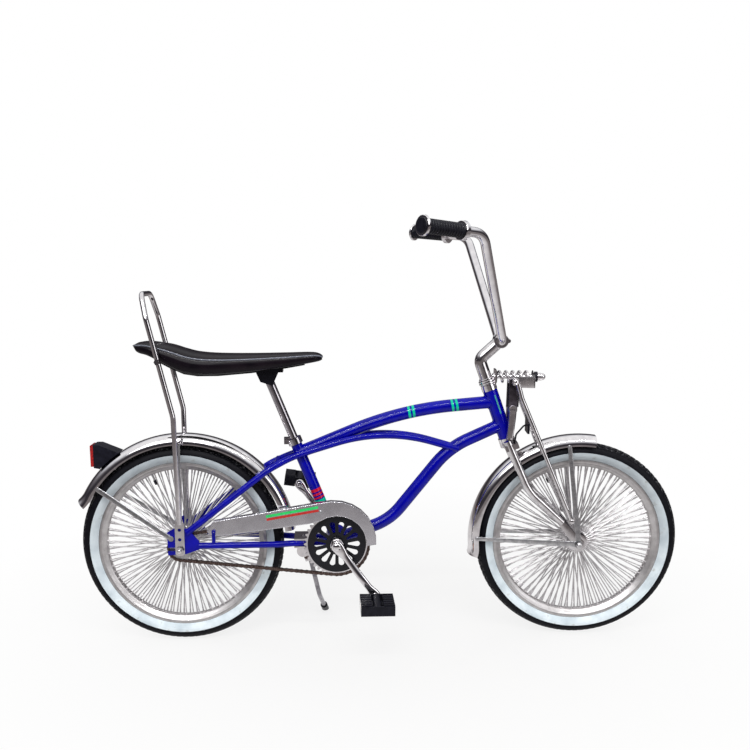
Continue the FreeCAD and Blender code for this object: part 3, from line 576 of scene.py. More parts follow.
# Tyres: round section with a block tread
TREAD_PITCHES = 96
STEPS = 8
# Rows of tread blocks: (from half width, to half width, share of the pitch the row is shifted)
TREAD_ROWS = [(0.0, 5.5, 0.0), (7.0, 12.5, 0.5), (14.0, 19.5, 0.0)]
TREAD_DEPTH = 1.9
# Half width of the tread, share of a pitch that is block, and the slant of its cross cuts
TREAD_HALF, TREAD_BLOCK, TREAD_SLANT = 20.0, 0.74, 0.018
CROWN_DROP = 0.0235


def tyre_profile():
    """(radius, y) from one bead over the crown to the other."""
    wall = [(R - 45.6, 14.4), (R - 43.5, 16.4), (R - 41.0, 19.0), (R - 37.0, 22.3), (R - 32.0, 25.0),
            (R - 27.5, 26.2), (R - 23.2, 26.4), (R - 22.6, 25.9), (R - 19.5, 25.6), (R - 15.8, 24.3),
            (R - 12.6, 22.6)]
    crown = []
    for y in (20.6, 19.6, 19.4, 16.8, 14.1, 13.9, 12.6, 12.4, 9.8, 7.1, 6.9, 5.6, 5.4, 2.8, 0.0):
        crown.append((R - CROWN_DROP * y * y, y))
    half = wall + crown
    return half + [(r, -y) for r, y in half[-2::-1]]


def tread_depth(y, phase):
    """How deep the tread is cut at a half width and a share of the pitch."""
    w = abs(y)
    if w > TREAD_HALF:
        return 0.0
    for a, b, shift in TREAD_ROWS:
        if a <= w <= b:
            u = (phase + shift + w * TREAD_SLANT) % 1.0
            return TREAD_DEPTH if u > TREAD_BLOCK else 0.0
    return TREAD_DEPTH


def build_tyre(tag, matrix):
    profile = tyre_profile()
    rows = []
    n = TREAD_PITCHES * STEPS
    for i in range(n):
        a = 2 * math.pi * i / n
        row = []
        for r, y in profile:
            q = r - tread_depth(y, (i % STEPS) / STEPS) if r > R - 10.5 else r
            row.append(ray(a) * q + CROSS * y)
        rows.append(row)
    m = Mesh()
    m.grid(rows, close_u=True, close_v=True)
    obj = make("tyre_%s_tread" % tag, m, matrix, tag + "_wheel", MAT["tyre"], 28.0)
    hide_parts("tyre_" + tag)


def build_rim(tag, matrix):
    half = [(R - 45.7, 14.0), (R - 45.0, 15.5), (R - 43.9, 15.6), (R - 43.4, 16.4), (R - 43.9, 17.3),
            (R - 45.5, 17.6), (R - 50.0, 17.5), (R - 51.8, 16.6), (R - 53.0, 14.8), (R - 56.5, 12.2),
            (R - 60.5, 9.8), (R - 62.4, 7.4), (R - 63.0, 3.8)]
    m = Mesh()
    m.lathe(half + [(r, -y) for r, y in half[::-1]], 192)
    obj = make("rim_%s_rolled" % tag, m, matrix, tag + "_wheel", MAT["rim"], 50.0)
    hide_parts("rim_" + tag)


# Spokes a side, and how many holes each one leans round the rim
SPOKES = 70
SPOKE_REACH = 1
SPOKE_R = 1.55
SPOKE_END = R - 63.2
REAR_FLANGE, FRONT_FLANGE = CHAIN_LINE - 16.0, 26.0


def build_spokes(tag, matrix, flange, flange_r, hub):
    """Crossed spokes with nipples at the rim, and the turned hub that holds them."""
    m = Mesh()
    for side in (1, -1):
        for k in range(SPOKES):
            outer = k % 2
            a0 = 2 * math.pi * (k + (0.0 if side > 0 else 0.5)) / SPOKES
            a1 = a0 + 2 * math.pi / SPOKES * (SPOKE_REACH if outer else -SPOKE_REACH)
            y0 = side * (flange + (1.6 if outer else -3.6))
            y1 = side * (6.4 if outer else 1.2)
            p0 = ray(a0) * (flange_r - 4) + CROSS * y0
            p1 = ray(a1) * SPOKE_END + CROSS * y1
            d = (p1 - p0).normalized()
            m.tube([p0, p1], SPOKE_R, 6)
            m.tube([p1 - d * 13, p1 - d * 12, p1 + d * 0.8], lambda t: 1.4 if t == 0 else 2.1, 6)
            out, back = (-2.6, -0.2) if outer else (0.2, 2.6)
            m.bar(p0 - CROSS * side * back, p0 + CROSS * side * out, 1.0, 6)
    obj = make("spokes_%s_laced" % tag, m, matrix, tag + "_wheel", MAT["spoke"], 40.0)
    h = Mesh()
    h.lathe(hub, 48)
    shell = make("hub_%s_turned" % tag, h, matrix, tag + "_wheel", MAT["chrome"], 40.0)
    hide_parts("spokes_" + tag)
    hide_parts("spokes_" + tag)


def flange_ring(r, y0, y1, root):
    """Rounded flange outline between two Y faces."""
    return [(root, y0), (r - 1.2, y0), (r, y0 + 1.0), (r, y1 - 1.0), (r - 1.2, y1), (root, y1)]


def rear_hub():
    f = REAR_FLANGE
    return ([(4.8, -CHAIN_LINE + 8), (15.0, -CHAIN_LINE + 8), (16.0, -CHAIN_LINE + 9)]
            + flange_ring(36, -f - 1.5, -f + 3.5, 22) + [(19.5, -14), (19.0, 0), (20.0, 14)]
            + flange_ring(36, f - 3.5, f + 1.5, 23)
            + [(18.5, 36), (16.0, 40), (15.5, 47.5), (14.0, 48.5), (4.8, 48.5)])


def front_hub():
    f = FRONT_FLANGE
    half = flange_ring(30, f - 3.5, f + 1.5, 14)
    half += [(11.5, 30), (10.0, 33), (9.6, 40.5), (8.6, 41), (4.05, 41)]
    return [(r, -y) for r, y in half[::-1]] + [(11.0, 0)] + half


def build_valve(tag, matrix, deg):
    """Inner tube valve through the rim, with a black cap."""
    e = ray(math.radians(deg))
    m = Mesh()
    m.tube([e * (R - 62), e * (R - 66), e * (R - 67), e * (R - 79)],
           lambda t: 3.0 if t < 0.5 else 2.6, 12)
    make("valve_%s" % tag, m, matrix, tag + "_wheel", MAT["steel"])
    c = Mesh()
    c.tube([e * (R - 78), e * (R - 79), e * (R - 89), e * (R - 90.5)],
           lambda t: (3.9, 4.3, 3.9, 2.8)[round(t * 3)], 12)
    make("valve_cap_%s" % tag, c, matrix, tag + "_wheel", MAT["black_plastic"])


def build_wheels():
    for tag, matrix, flange, flange_r, hub, valve in (
            ("rear", BIKE, REAR_FLANGE, 36, rear_hub(), 112.6),
            ("front", FORK, FRONT_FLANGE, 30, front_hub(), 116.0)):
        build_tyre(tag, matrix)
        build_rim(tag, matrix)
        build_spokes(tag, matrix, flange, flange_r, hub)
        build_valve(tag, matrix, valve)


# Fenders: thin rolled section with beaded edges, swept round the hub and flared at the rear
REAR_FENDER_R, FRONT_FENDER_R = R + 27, R + 20


def fender_section(ro):
    outer = [(ro - 25.6, 31.4), (ro - 24.0, 31.5), (ro - 18, 31.1), (ro - 12, 29.3), (ro - 7.0, 25.4),
             (ro - 3.2, 19.5), (ro - 1.1, 13.0), (ro - 0.1, 6.5), (ro, 0.0)]
    inner = [(ro - 1.6, 0.0), (ro - 1.7, 6.5), (ro - 2.7, 12.6), (ro - 4.8, 18.7), (ro - 8.3, 24.2),
             (ro - 13, 27.7), (ro - 18.4, 29.3), (ro - 24.0, 29.6), (ro - 25.6, 29.8)]
    return (outer + [(r, -y) for r, y in outer[-2::-1]] + [(r, -y) for r, y in inner[:0:-1]]
            + inner)


def build_fender(name, matrix, body, ro, a0, a1, flare, flare_r, node):
    sec = fender_section(ro)
    rows = []
    steps = 90
    for i in range(steps + 1):
        a = math.radians(a0 + (a1 - a0) * i / steps)
        rows.append([ray(a) * r + CROSS * y for r, y in sec])
    pivot = ray(math.radians(a1)) * (ro + flare_r)
    last = rows[-1]
    for i in range(1, 13):
        turn = Matrix.Rotation(math.radians(flare * i / 12), 4, "Y")
        rows.append([pivot + turn @ (p - pivot) for p in last])
    m = Mesh()
    m.grid(rows, close_v=True, caps=True)
    obj = make(name, m, matrix, body, MAT["chrome"], 60.0)
    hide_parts(node)


def build_fenders():
    rear = BIKE @ Matrix.Translation(REAR_FENDER_CENTRE)
    build_fender("rear_fender_rolled", rear, "frame", REAR_FENDER_R, 7.0, 151.2, 20.0, 75.0,
                 "rear_fender")
    build_fender("front_fender_rolled", FORK, "fork", FRONT_FENDER_R, 82.0, 184.0, 20.0, 60.0,
                 "front_fender")


# Stays: (angle of the rivet, its depth below the fender's crown, eye, width at the rivet and at the
# eye, eye's radius)
DROPOUT, FORK_FACE = CHAIN_LINE + 9.0, 45.0
REAR_STAYS = [(144.9, 27.2, Vector((-22.4, DROPOUT + 6, 28)), 12.0, 11.0, 7.0),
              (91.6, 22.9, Vector((0, DROPOUT + 6, 0)), 12.0, 11.0, 9.0)]
FRONT_STAYS = [(178.7, 19.3, Vector((0, FORK_FACE + 6, 0)), 10.0, 14.0, 10.0),
               (97.0, 24.1, Vector((0, FORK_FACE + 6, 0)), 10.0, 14.0, 10.0)]


def straps(stays, centre, ro):
    """Flat stays from rivets on the fender's edge to eyes by the axle, on both sides."""
    m = Mesh()
    for deg, depth, b, width, low_width, eye_r in stays:
        a = centre + ray(math.radians(deg)) * (ro - depth) + CROSS * 33.5
        d = (b - a).normalized()
        across = d.cross(CROSS).normalized()
        thin = across.cross(d) * 1.2
        for side, flip in SIDES:
            rows = []
            for k in range(9):
                half = (width + (low_width - width) * k / 8) / 2
                rows.append(flip([a.lerp(b, k / 8) + q for q in squared(across * half, thin)]))
            m.grid(rows, close_v=True, caps=True)
            m.pin(b, side * (b.y - 1.0), side * (b.y + 1.0), eye_r, 28, 0.4)
            m.pin(a, side * 31.2, side * 35.8, width * 0.4, 28, 0.4)
    return m


def build_stays():
    rear = straps(REAR_STAYS, REAR_FENDER_CENTRE, REAR_FENDER_R)
    obj = make("rear_stays_flat", rear, BIKE, "frame", MAT["steel"], 45.0)
    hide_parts("rear_fender_stays")
    front = straps(FRONT_STAYS, Vector((0, 0, 0)), FRONT_FENDER_R)
    obj = make("front_stays_flat", front, FORK, "fork", MAT["steel"], 45.0)
    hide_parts("front_fender_stays")


# Saddle: (x from the post, underside, top, half width), as in the solids
SADDLE = [(-319.8, 67.4, 73.4, 22), (-307.8, 55.4, 79.4, 42), (-279.8, 47.4, 81.4, 60),
          (-231.8, 22.4, 74.4, 69), (-195.8, 6.4, 63.4, 71), (-162.8, 1.4, 55.4, 71),
          (-113.8, 1.4, 51.4, 68), (-32.8, 7.4, 50.4, 58), (49.2, 17.4, 51.4, 48),
          (110.2, 27.4, 52.4, 41), (131.2, 31.4, 49.4, 32), (139.2, 34.4, 43.4, 18)]
# Half of the section: (share of half width, share of height), and where the seam runs on it
SADDLE_HALF = [(0.0, 0.03), (0.40, 0.0), (0.70, 0.02), (0.86, 0.08), (0.96, 0.22), (1.0, 0.42),
               (0.985, 0.60), (0.93, 0.735), (0.905, 0.775), (0.84, 0.83), (0.66, 0.915),
               (0.36, 0.975), (0.0, 1.0)]
SEAM = (0.925, 0.755)


def build_saddle():
    rows = smooth_line(SADDLE, 10)
    rings = []
    for x, zb, zt, w in rows:
        half = [(w * a, zb + (zt - zb) * b) for a, b in SADDLE_HALF]
        pts = half + [(-y, z) for y, z in half[-2:0:-1]]
        rings.append([POST_TOP + Vector((x, y, z)) for y, z in pts])
    m = Mesh()
    m.grid(rings, close_v=True, caps=True)
    obj = make("saddle_cover", m, BIKE, "frame", MAT["saddle_vinyl"], 60.0)
    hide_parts("saddle")
    loop = [POST_TOP + Vector((x, SEAM[0] * w, zb + SEAM[1] * (zt - zb))) for x, zb, zt, w in rows]
    p = Mesh()
    p.tube(loop + mirrored(loop)[::-1], 1.9, 8, closed=True)
    # Piping tube along the seam, in the pale tone that paints the edge highlight
    make("saddle_piping", p, BIKE, "frame", MAT["piping"], 60.0)


# Grips: ribbed rubber between chrome rings, closed at the outer end
CLAMP = STEER_POINT + Vector((9.3, 0, 162))


def grip_profile():
    pts = [(11.15, 3.0), (16.4, 3.0), (16.6, 7.0)]
    for k in range(13):
        y = 9 + k * 7.6
        pts += [(14.6, y), (16.2, y + 1.2), (16.2, y + 5.0), (14.6, y + 6.2)]
    return pts + [(16.6, 110.5), (16.6, 118), (15.6, 119), (0.05, 119), (0.05, 117.5), (11.15, 115)]


def ring_profile(r, y0, y1):
    """Rounded chrome collar round the rubber."""
    return [(12.0, y0), (r - 1.4, y0), (r, y0 + 1.4), (r, y1 - 1.4), (r - 1.4, y1), (12.0, y1)]


def build_grips():
    for tag, s in (("left", 1), ("right", -1)):
        end = CLAMP + Vector((-210, 320 * s, 269.5))
        knee = CLAMP + Vector((-71, 206 * s, 255))
        d = (end - knee).normalized()
        x = d.orthogonal().normalized()
        local = Matrix((x, d, x.cross(d))).transposed().to_4x4()
        local.translation = end - d * 116
        m = Mesh()
        m.lathe(grip_profile(), 40)
        obj = make("grip_" + tag, m.moved(local), FORK, "fork", MAT["rubber"], 40.0)
        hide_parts("grips")
        c = Mesh()
        c.lathe(ring_profile(21.6, -6.0, 6.0), 40)
        c.lathe(ring_profile(22.2, 110.0, 116.6), 40)
        make("grip_rings_" + tag, c.moved(local), FORK, "fork", MAT["chrome"], 40.0)


# Frame tubes: smooth bends, ends shaped to the tube they meet, and a weld bead round each joint
TUBE, SLIM, STAY, SEAT_TUBE, SHELL_R = 15.9, 8.2, 8.0, 14.3, 27.5
ST_LEN = 284.0
BEAD = 1.7


def between(a, b, t, up=0.0):
    return a.lerp(b, t) + Vector((0, 0, up))


def joined_tube(m, path, r, sides, walls):
    """Tube whose ends meet other tubes: walls holds (end, point on axis, axis, radius) for each."""
    keep = [p for p in path
            if all(((p - at) - axis * (p - at).dot(axis)).length > wall + r + 1
                   for _, at, axis, wall in walls)]
    rows = tube_rows(keep, r, sides)
    for end, *wall in walls:
        i, j = (0, 1) if end == 0 else (-1, -2)
        d = (keep[i] - keep[j]).normalized()
        rows.insert(0 if end == 0 else len(rows), mitre(rows[i], d, *wall))
        m.tube(mitre(tube_rows(keep, r + 0.6, 40)[i], d, *wall), BEAD, 8, closed=True)
    m.grid(rows, close_v=True, caps=True)


def build_frame_tubes():
    head = (HEAD_POINT, STEER_UP, HEAD_R)
    shell = (BOTTOM_BRACKET, CROSS, SHELL_R)
    seat_top = BOTTOM_BRACKET + SEAT_UP * ST_LEN
    top_a = HEAD_POINT + Vector((-2.7, 0, 7.3))
    top_b = seat_top + SEAT_UP * -21 + Vector((0, 0, -18.6))
    down_a = HEAD_POINT + Vector((17.3, 0, -51.2))
    knee = between(down_a, BOTTOM_BRACKET, 0.315, 33.5)
    parts = {"top_tube": Mesh(), "down_tube": Mesh(), "mid_tubes": Mesh(), "chain_stays": Mesh()}
    top = bent([top_a, between(top_a, top_b, 0.469, 40.2), top_b], [850])
    joined_tube(parts["top_tube"], top, TUBE, 40, [(0, *head)])
    low = between(down_a, BOTTOM_BRACKET, 0.673, -48.4)
    down = bent([down_a, knee, low, BOTTOM_BRACKET], [220, 150])
    joined_tube(parts["down_tube"], down, TUBE, 40, [(0, *head), (1, *shell)])
    mid_fender = ray(math.radians(41.75)) * (R + 38.4) + CROSS * 42
    mid_seat = seat_top + SEAT_UP * -45.7 + Vector((-22.2, 24, 0))
    mid_end = knee + Vector((23, 11, -1.4))
    mid_top = between(mid_seat, mid_end, 0.546, 62)
    mid_top.y = 17
    mid = bent([Vector((16.6, DROPOUT + 2.5, 42)), mid_fender, mid_seat, mid_top, mid_end],
               [120, 220, 420])
    stay = bent([Vector((45.6, DROPOUT + 2.5, 8)), Vector((R - 13.4, 40, 3.5)), Vector((R + 33.6, 29, 3)),
                 BOTTOM_BRACKET + Vector((-14.1, 22, -1.9))], [120, 120])
    for _, flip in SIDES:
        parts["mid_tubes"].tube(flip(mid), SLIM, 24)
        joined_tube(parts["chain_stays"], flip(stay), STAY, 24, [(1, *shell)])
    parts["mid_tubes"].pin(between(mid_fender, mid_seat, 0.38, 3), -35, 35, 7.0, 20)
    for node, m in parts.items():
        mat = MAT["top_tube" if node == "top_tube" else "frame_paint"]
        obj = make(node + "_drawn", m, BIKE, "frame", mat, 50.0)
        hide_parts(node)
    w = Mesh()
    ring = tube_rows([seat_top, BOTTOM_BRACKET], SEAT_TUBE + 0.6, 40)[0]
    w.tube(mitre(ring, (BOTTOM_BRACKET - seat_top).normalized(), *shell), BEAD, 8, closed=True)
    make("seat_tube_weld", w, BIKE, "frame", MAT["frame_paint"], 60.0)


# Springer fork: tapered blades, plate ends, struts, links, headset rings
FORK_END = [(-64.6, 66), (-49.6, 80), (0.4, 18), (10.5, 11), (14.4, 6), (15.5, -3), (14.4, -12), (8, -17),
            (0.4, -18), (-8, -16), (-12.6, -12), (-18.6, 6)]
LINK_TOP = [(31.3, -9), (53.3, -9), (53.3, 66), (50, 69), (35.6, 69), (32.3, 66)]
YOKE_CHEEK = arc(47.3, 60.0, 14.0, 90, 270, 12) + [(94.3, 45), (96.3, 47), (96.3, 72), (94.3, 74)]


def sp(x, y, z):
    return STEER_POINT + Vector((x, y, z))


def by_steering(outline):
    return [(STEER_POINT.x + x, STEER_POINT.z + z) for x, z in outline]


def build_fork():
    blade = bent([sp(29.3, 42, -86), Vector((-130.6, 48, 137)), Vector((-42.6, 47.5, 56))], [130])
    strut = bent([sp(52.3, 31.2, 57), sp(62.3, 33, 21), Vector((-34.6, FORK_FACE + 11.5, 94)),
                  Vector((-22.6, FORK_FACE + 11.5, 66))], [40, 60])
    arm = [sp(35.0, 22.5, -107), sp(38.0, 23, -70), sp(41.0, 23, -35), sp(42.3, 23, -9)]
    link_eye, bolt = sp(42.3, 0, -9), sp(47.3, 0, 61)
    b, e, s, low, top, bolts, yoke = (Mesh() for _ in range(7))
    for side, flip in SIDES:
        b.tube(flip(blade), lambda t: 10.6 - 2.6 * t * t, 28)
        s.tube(flip(strut), 6.0, 20)
        s.pin((-21.6, 0, 64), side * (FORK_FACE + 5), side * (FORK_FACE + 9), 10, 28, 0.8)
        s.dome((-21.6, 0, 64), 6.5, side * (FORK_FACE + 17.4), side * 3.2)
        e.plate(FORK_END, side * FORK_FACE, side * (FORK_FACE + 5))
        low.tube(flip(arm), lambda t: 8.6 + 1.6 * t, 20)
        low.pin(link_eye, side * 21, side * 26.6, 11.0, 28, 1.0)
        top.plate(by_steering(LINK_TOP), side * 21, side * 25)
        bolts.pin(bolt, side * 20.5, side * 27.0, 9.5, 28, 0.8)
        bolts.dome(bolt, 6.8, side * 27.0, side * 3.4)
        yoke.plate(by_steering(YOKE_CHEEK), side * 16.6, side * 20.9)
        yoke.pin(bolt, side * 16.6, side * 26.0, 7.0, 24)
    for x0, x1, z0, z1, half in ((92.3, 96.3, 45, 74, 20.9), (38.0, 57.3, 46, 50, 17.0)):
        yoke.plate(by_steering([(x0, z0), (x1, z0), (x1, z1), (x0, z1)]), -half, half)
    obj = make("fork_blades_tapered", b, FORK, "fork", MAT["fork_chrome"], 50.0)
    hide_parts("fork_blades")
    make("fork_end_plates", e, FORK, "fork", MAT["fork_chrome"], 35.0, 1.2)
    obj = make("struts_bent", s, FORK, "fork", MAT["fork_chrome"], 45.0)
    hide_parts("struts")
    obj = make("link_arms", low, FORK, "fork", MAT["fork_chrome"], 45.0)
    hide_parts("link_plates")
    # The link cheeks take the darkened chrome, which is painted shade
    obj = make("link_cheeks", top, FORK, "fork", MAT["dark_chrome"], 35.0, 1.0)
    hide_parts("link_plates")
    make("link_bolts", bolts, FORK, "fork", MAT["chrome"], 40.0)
    obj = make("yoke_formed", yoke, FORK, "fork", MAT["yoke_chrome"], 35.0, 1.1)
    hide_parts("yoke")
    rings = Mesh()
    for z0, z1, r in ((55.0, 57.2, 17.0), (57.2, 61.4, 21.0), (61.4, 62.6, 16.4), (62.6, 67.4, 20.6),
                      (67.4, 68.4, 15.4), (68.4, 72.0, 18.0)):
        rings.bar(STEER_POINT + STEER_UP * z0, STEER_POINT + STEER_UP * z1, r, 44, 0.7)
    obj = make("headset_rings", rings, FORK, "fork", MAT["chrome"], 40.0)
    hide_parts("headset_nut")


# High-rise bar and the goose-neck stem that holds it
BAR_R = 11.1


def build_bar():
    half = [CLAMP + Vector(p) for p in ((-210, 320, 269.5), (-71, 206, 255), (0, 42, 0))]
    m = Mesh()
    m.tube(bent(half + mirrored(half)[::-1], [55, 42, 42, 55], 6.0), BAR_R, 32)
    obj = make("handlebar_bent", m, FORK, "fork", MAT["chrome"], 50.0)
    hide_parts("handlebar")
    n = Mesh()
    neck = bent([STEER_POINT + STEER_UP * 70, STEER_POINT + STEER_UP * 122, CLAMP], [20], 4.0)
    n.tube(neck, 15.4, 32)
    for y0, y1, r in ((-20, 20, 17.2), (-20.6, -16.5, 18.0), (16.5, 20.6, 18.0)):
        n.pin(CLAMP, y0, y1, r, 36, 1.2)
    n.pin(CLAMP + Vector((19.5, 0, -1)), -9, 9, 5.4, 20, 0.8)
    obj = make("stem_cast", n, FORK, "fork", MAT["fork_chrome"], 45.0)
    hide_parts("stem")


# Cranks: forged arms that taper and swing out, on the axle between them
CRANK = 157.5
CRANK_DEG = -52.4
ARM_MID, PEDAL_MID, ARM_HALF = CHAIN_LINE + 22.5, CHAIN_LINE + 37.5, 6.5


def smooth_step(a, b, x):
    t = min(max((x - a) / (b - a), 0.0), 1.0)
    return t * t * (3 - 2 * t)


def arm_half_width(x):
    if x < 0:
        return 15.0 * math.sqrt(max(1 - (x / 15.0) ** 2, 0.004))
    if x > CRANK:
        return 13.0 * math.sqrt(max(1 - ((x - CRANK) / 13.0) ** 2, 0.004))
    return 9.0 + 6.0 * (1 - smooth_step(4, 40, x)) + 4.0 * smooth_step(CRANK - 30, CRANK - 4, x)


def build_cranks():
    m = Mesh()
    bb = BOTTOM_BRACKET
    for side, deg in ((-1, CRANK_DEG), (1, CRANK_DEG + 180)):
        e, t = ray(math.radians(deg)), ray(math.radians(deg + 90))
        rows = []
        for k in range(65):
            x = -15 + (CRANK + 28) * k / 64
            y = ARM_MID + (PEDAL_MID - ARM_MID) * smooth_step(22, CRANK - 28, x)
            ring = squared(t * arm_half_width(x), CROSS * side * ARM_HALF)
            rows.append([bb + e * x + CROSS * side * y + q for q in ring])
        m.grid(rows, close_v=True, caps=True)
        eye = bb + e * CRANK
        m.pin(eye, side * (PEDAL_MID + 6), side * (PEDAL_MID + 13.5), 8.5, 28, 0.8)
        m.pin(eye, side * (PEDAL_MID + 6), side * (CHAIN_LINE + 58), 5.5, 20)
        m.dome(eye, 7.0, side * (PEDAL_MID - 6.2), -side * 1.6)
    inner = CHAIN_LINE + 16.0
    for y0, y1, r in ((-inner - 2, inner + 2, 8.0), (-inner, -CHAIN_LINE + 1.4, 17.0),
                      (-CHAIN_LINE + 1.4, -CHAIN_LINE + 4, 19.0), (CHAIN_LINE - 4, inner, 13.0)):
        m.pin(bb, y0, y1, r, 36, 0.6)
    obj = make("cranks_forged", m, BIKE, "crank", MAT["chrome"], 45.0)
    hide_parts("crank_arms")


# Springer's spring: round wire wound about a level axis
COIL_TURNS, COIL_STEPS = 5, 28
COIL_R, COIL_WIRE, COIL_START, COIL_LENGTH = 13.2, 3.2, 4.8, 83.5


def build_spring():
    path = []
    for k in range(COIL_TURNS * COIL_STEPS + 1):
        a = 2 * math.pi * k / COIL_STEPS
        x = COIL_START + COIL_LENGTH * k / (COIL_TURNS * COIL_STEPS)
        path.append(sp(x, COIL_R * math.cos(a), 71 + COIL_R * math.sin(a)))
    m = Mesh()
    m.tube(path, COIL_WIRE, 12)
    obj = make("coil_spring_wire", m, FORK, "fork", MAT["chrome"], 60.0)
    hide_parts("coil_spring")


# Chain: plates, pins and rollers, a link each half inch
LINK, PLATE_R = 12.7, 4.1


def build_chain():
    rb, rs = (LINK / (2 * math.sin(math.pi / n)) for n in (TEETH_BIG, TEETH_SMALL))
    bb = BOTTOM_BRACKET
    reach = bb.length
    base = math.atan2(bb.z, bb.x)
    wrap = math.asin((rb - rs) / reach)
    span = math.sqrt(reach ** 2 - (rb - rs) ** 2)
    arc_b, arc_s = math.pi + 2 * wrap, math.pi - 2 * wrap
    total = 2 * span + rb * arc_b + rs * arc_s
    n = int(round(total / LINK / 2)) * 2

    def at(s):
        s %= total
        a = base + math.pi / 2 + wrap
        for c, r, arc_len in ((bb, rb, arc_b), (Vector((0, 0, 0)), rs, arc_s)):
            if s < r * arc_len:
                return c + ray(a - s / r) * r
            s -= r * arc_len
            a -= arc_len
            if s < span:
                return c + ray(a) * r + ray(a - math.pi / 2) * s
            s -= span
        return bb + ray(a) * rb

    m = Mesh()
    for k in range(n):
        p, q = at(total * k / n) - CROSS * CHAIN_LINE, at(total * (k + 1) / n) - CROSS * CHAIN_LINE
        d = (q - p).normalized()
        up = Vector((-d.z, 0, d.x))
        outline = []
        for c, sgn in ((q, 1), (p, -1)):
            for a in (-75, -45, -15, 15, 45, 75):
                r = math.radians(a)
                outline.append(c + (d * math.cos(r) + up * math.sin(r)) * sgn * PLATE_R)
            outline.append((p + q) / 2 + up * sgn * 3.0)
        inner = 2.35 if k % 2 else 3.45
        for side in (1, -1):
            m.grid([[o + CROSS * side * y for o in outline] for y in (inner, inner + 0.95)],
                   close_v=True, caps=True)
        m.bar(p - CROSS * 4.9, p + CROSS * 4.9, 1.8, 10)
        m.bar(p - CROSS * 2.3, p + CROSS * 2.3, 3.9, 12)
    obj = make("chain_links", m, BIKE, "frame", MAT["chain_steel"], 40.0)
    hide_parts("chain")


# Small hardware that the solids leave plain
def build_hardware():
    m = Mesh()
    out = CHAIN_LINE + 28.0
    for s in (1, -1):
        m.nut((0, 0, 0), 17, s * (out - 8.2), s * (out + 0.2))
        m.pin((0, 0, 0), s * (out - 9.4), s * (out - 8.0), 10.5, 24, 0.3)
        m.dome((0, 0, 0), 4.9, s * (out + 5.6), s * 2.6)
    make("rear_axle_nuts", m, BIKE, "frame", MAT["chrome"], 30.0)
    f = Mesh()
    for s in (1, -1):
        f.nut((0, 0, 0), 15, s * 51.9, s * 60.1)
        f.dome((0, 0, 0), 7.4, s * 60.0, s * 6.4)
    make("front_axle_nuts", f, FORK, "fork", MAT["chrome"], 30.0)
    c = Mesh()
    bb = BOTTOM_BRACKET
    for s in (1, -1):
        c.dome(bb, 10.5, s * (CHAIN_LINE + 28.8), s * 4.5, 28)
    make("crank_caps", c, BIKE, "crank", MAT["chrome"], 40.0)
    g = Mesh()
    g.dome((83.6, 0, 44.0), 4.6, -CHAIN_LINE - 14.0, -2.6)
    g.dome((bb.x - 40, 0, bb.z + 87), 4.2, -CHAIN_LINE - 11.9, -2.4)
    make("guard_screws", g, BIKE, "frame", MAT["steel"], 40.0)


# Two plain stripes on the guard, with the ends of their middle line
STRIPE_ENDS = Vector((215.0, 0, 77.5)), Vector((345.0, 0, 99.5))
STRIPE_Y = -CHAIN_LINE - 12.35


def build_guard_stripes():
    a, b = STRIPE_ENDS
    along = (b - a).normalized()
    up = Vector((-along.z, 0, along.x))
    for name, low, high in (("green", 1.0, 7.5), ("red", -7.0, -1.0)):
        m = Mesh()
        m.grid([[p + up * z + CROSS * STRIPE_Y for p in (a, b)] for z in (low, high)])
        make("guard_stripe_" + name, m, BIKE, "frame", MAT["stripe_" + name])


def build_head_line():
    """Thin line down the right of the head tube."""
    m = Mesh()
    ahead = CROSS.cross(STEER_UP)
    turns = [math.radians(deg) for deg in (-22, -16, -10)]
    around = [(ahead * -math.sin(a) - CROSS * math.cos(a)) * (HEAD_R + 0.3) for a in turns]
    m.grid([[HEAD_POINT + STEER_UP * s + q for q in around] for s in (-24.0, 26.0)])
    make("head_line", m, BIKE, "frame", MAT["line_green"], 60.0)


# Greys by distance over 3 m of floor, and by height of the sky for reflections
POOL = ((0.0, (0.95, 0.95, 0.95)), (0.35, (0.62, 0.60, 0.60)), (0.75, (0.20, 0.18, 0.18)))
SKY = ((0.0, (0.20, 0.18, 0.18)), (0.48, (0.05, 0.045, 0.05)), (0.58, (0.03, 0.028, 0.035)),
       (0.66, (0.14, 0.13, 0.14)), (0.76, (0.75, 0.77, 0.80)), (0.84, (1.0, 1.0, 1.0)))
WHITE = (1.0, 1.0, 1.0)


def camera():
    data = bpy.data.cameras.new("camera")
    cam = bpy.data.objects.new("camera", data)
    bpy.context.scene.collection.objects.link(cam)
    data.sensor_width = 36.0
    data.lens = FOCAL_PX * 36.0 / IMAGE
    data.shift_x = (IMAGE / 2 - CENTRE_PX[0]) / IMAGE
    data.shift_y = (CENTRE_PX[1] - IMAGE / 2) / IMAGE
    cam.location = CAM_AT
    cam.rotation_euler = (math.radians(90 - CAM_DOWN), 0, math.radians(CAM_YAW))
    bpy.context.scene.camera = cam


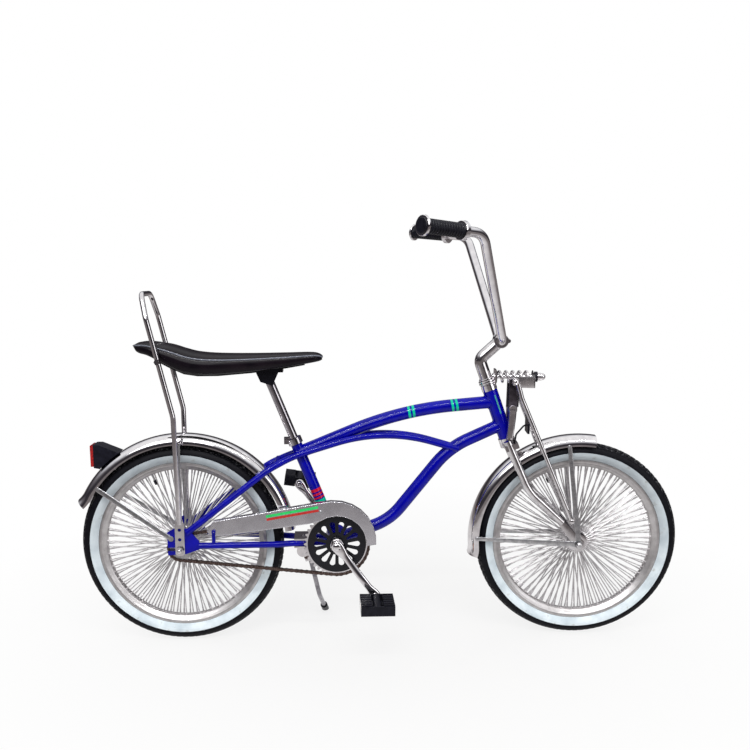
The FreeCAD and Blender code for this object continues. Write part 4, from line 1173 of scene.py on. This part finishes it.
def stage():
    """White floor and surroundings for the camera, a studio with a dark horizon for reflections."""
    bpy.ops.mesh.primitive_plane_add(size=24.0)
    floor = bpy.context.object
    floor.name = "floor"
    m, t, b = node_tree("floor")
    put(b, Base_Color=(0.62, 0.61, 0.60, 1), Roughness=0.7)
    # White where the camera sees it, with a trace of shadow; reflections see a pool of light that dims
    length = new(t, "VectorMath")
    length.operation = "LENGTH"
    t.links.new(place(t), length.inputs[0])
    far = math_node(t, "DIVIDE", length.outputs["Value"], 3.0, clamp=True)
    pool = ramp(t, far, POOL)
    path = new(t, "LightPath")
    seen = math_node(t, "MAXIMUM", path.outputs["Is Glossy Ray"], path.outputs["Is Transmission Ray"])
    glow = new(t, "Emission")
    t.links.new(mix_colour(t, path.outputs["Is Camera Ray"], pool, WHITE), glow.inputs["Color"])
    white = greys(t, far, 0.80, 1.0, 0.1, 0.42)
    share = math_node(t, "MAXIMUM", math_node(t, "MULTIPLY", path.outputs["Is Camera Ray"], white), seen)
    mix = new(t, "MixShader")
    t.links.new(share, mix.inputs["Fac"])
    t.links.new(b.outputs["BSDF"], mix.inputs[1])
    t.links.new(glow.outputs["Emission"], mix.inputs[2])
    t.links.new(mix.outputs["Shader"], t.nodes["Material Output"].inputs["Surface"])
    floor.data.materials.append(m)
    world = bpy.data.worlds.new("studio")
    bpy.context.scene.world = world
    world.use_nodes = True
    t = world.node_tree
    bg = t.nodes["Background"]
    xyz = new(t, "SeparateXYZ")
    t.links.new(new(t, "TexCoord").outputs["Generated"], xyz.inputs[0])
    height = math_node(t, "MULTIPLY_ADD", xyz.outputs["Z"], 0.5)
    height.node.inputs[2].default_value = 0.5
    path = new(t, "LightPath")
    seen = math_node(t, "MAXIMUM", path.outputs["Is Camera Ray"], path.outputs["Is Transmission Ray"])
    t.links.new(mix_colour(t, seen, ramp(t, height, SKY), WHITE), bg.inputs["Color"])
    put(bg, Strength=1.0)


# Lights: (name, place, aim, size, watts)
LIGHTS = [("key", (-1.2, -2.6, 2.6), (0, 0, 0.4), (2.4, 1.6), 40.0),
          ("fill", (2.4, -1.8, 1.2), (0, 0, 0.5), (1.5, 1.5), 14.0),
          ("strip", (0.0, -1.5, 2.6), (0, 0, 0.5), (2.6, 0.10), 30.0)]


def lights():
    for name, at, to, size, power in LIGHTS:
        data = bpy.data.lights.new(name, "AREA")
        data.shape = "RECTANGLE"
        data.size, data.size_y = size
        data.energy = power
        obj = bpy.data.objects.new(name, data)
        bpy.context.scene.collection.objects.link(obj)
        obj.location = at
        obj.rotation_euler = (Vector(to) - Vector(at)).to_track_quat("-Z", "Y").to_euler()


camera()
stage()
lights()
dress_nodes()
build_wheels()
build_fenders()
build_stays()
build_saddle()
build_grips()
build_frame_tubes()
build_fork()
build_bar()
build_cranks()
build_spring()
build_chain()
build_hardware()
build_guard_stripes()
build_head_line()
bpy.context.scene.view_settings.view_transform = "Standard"
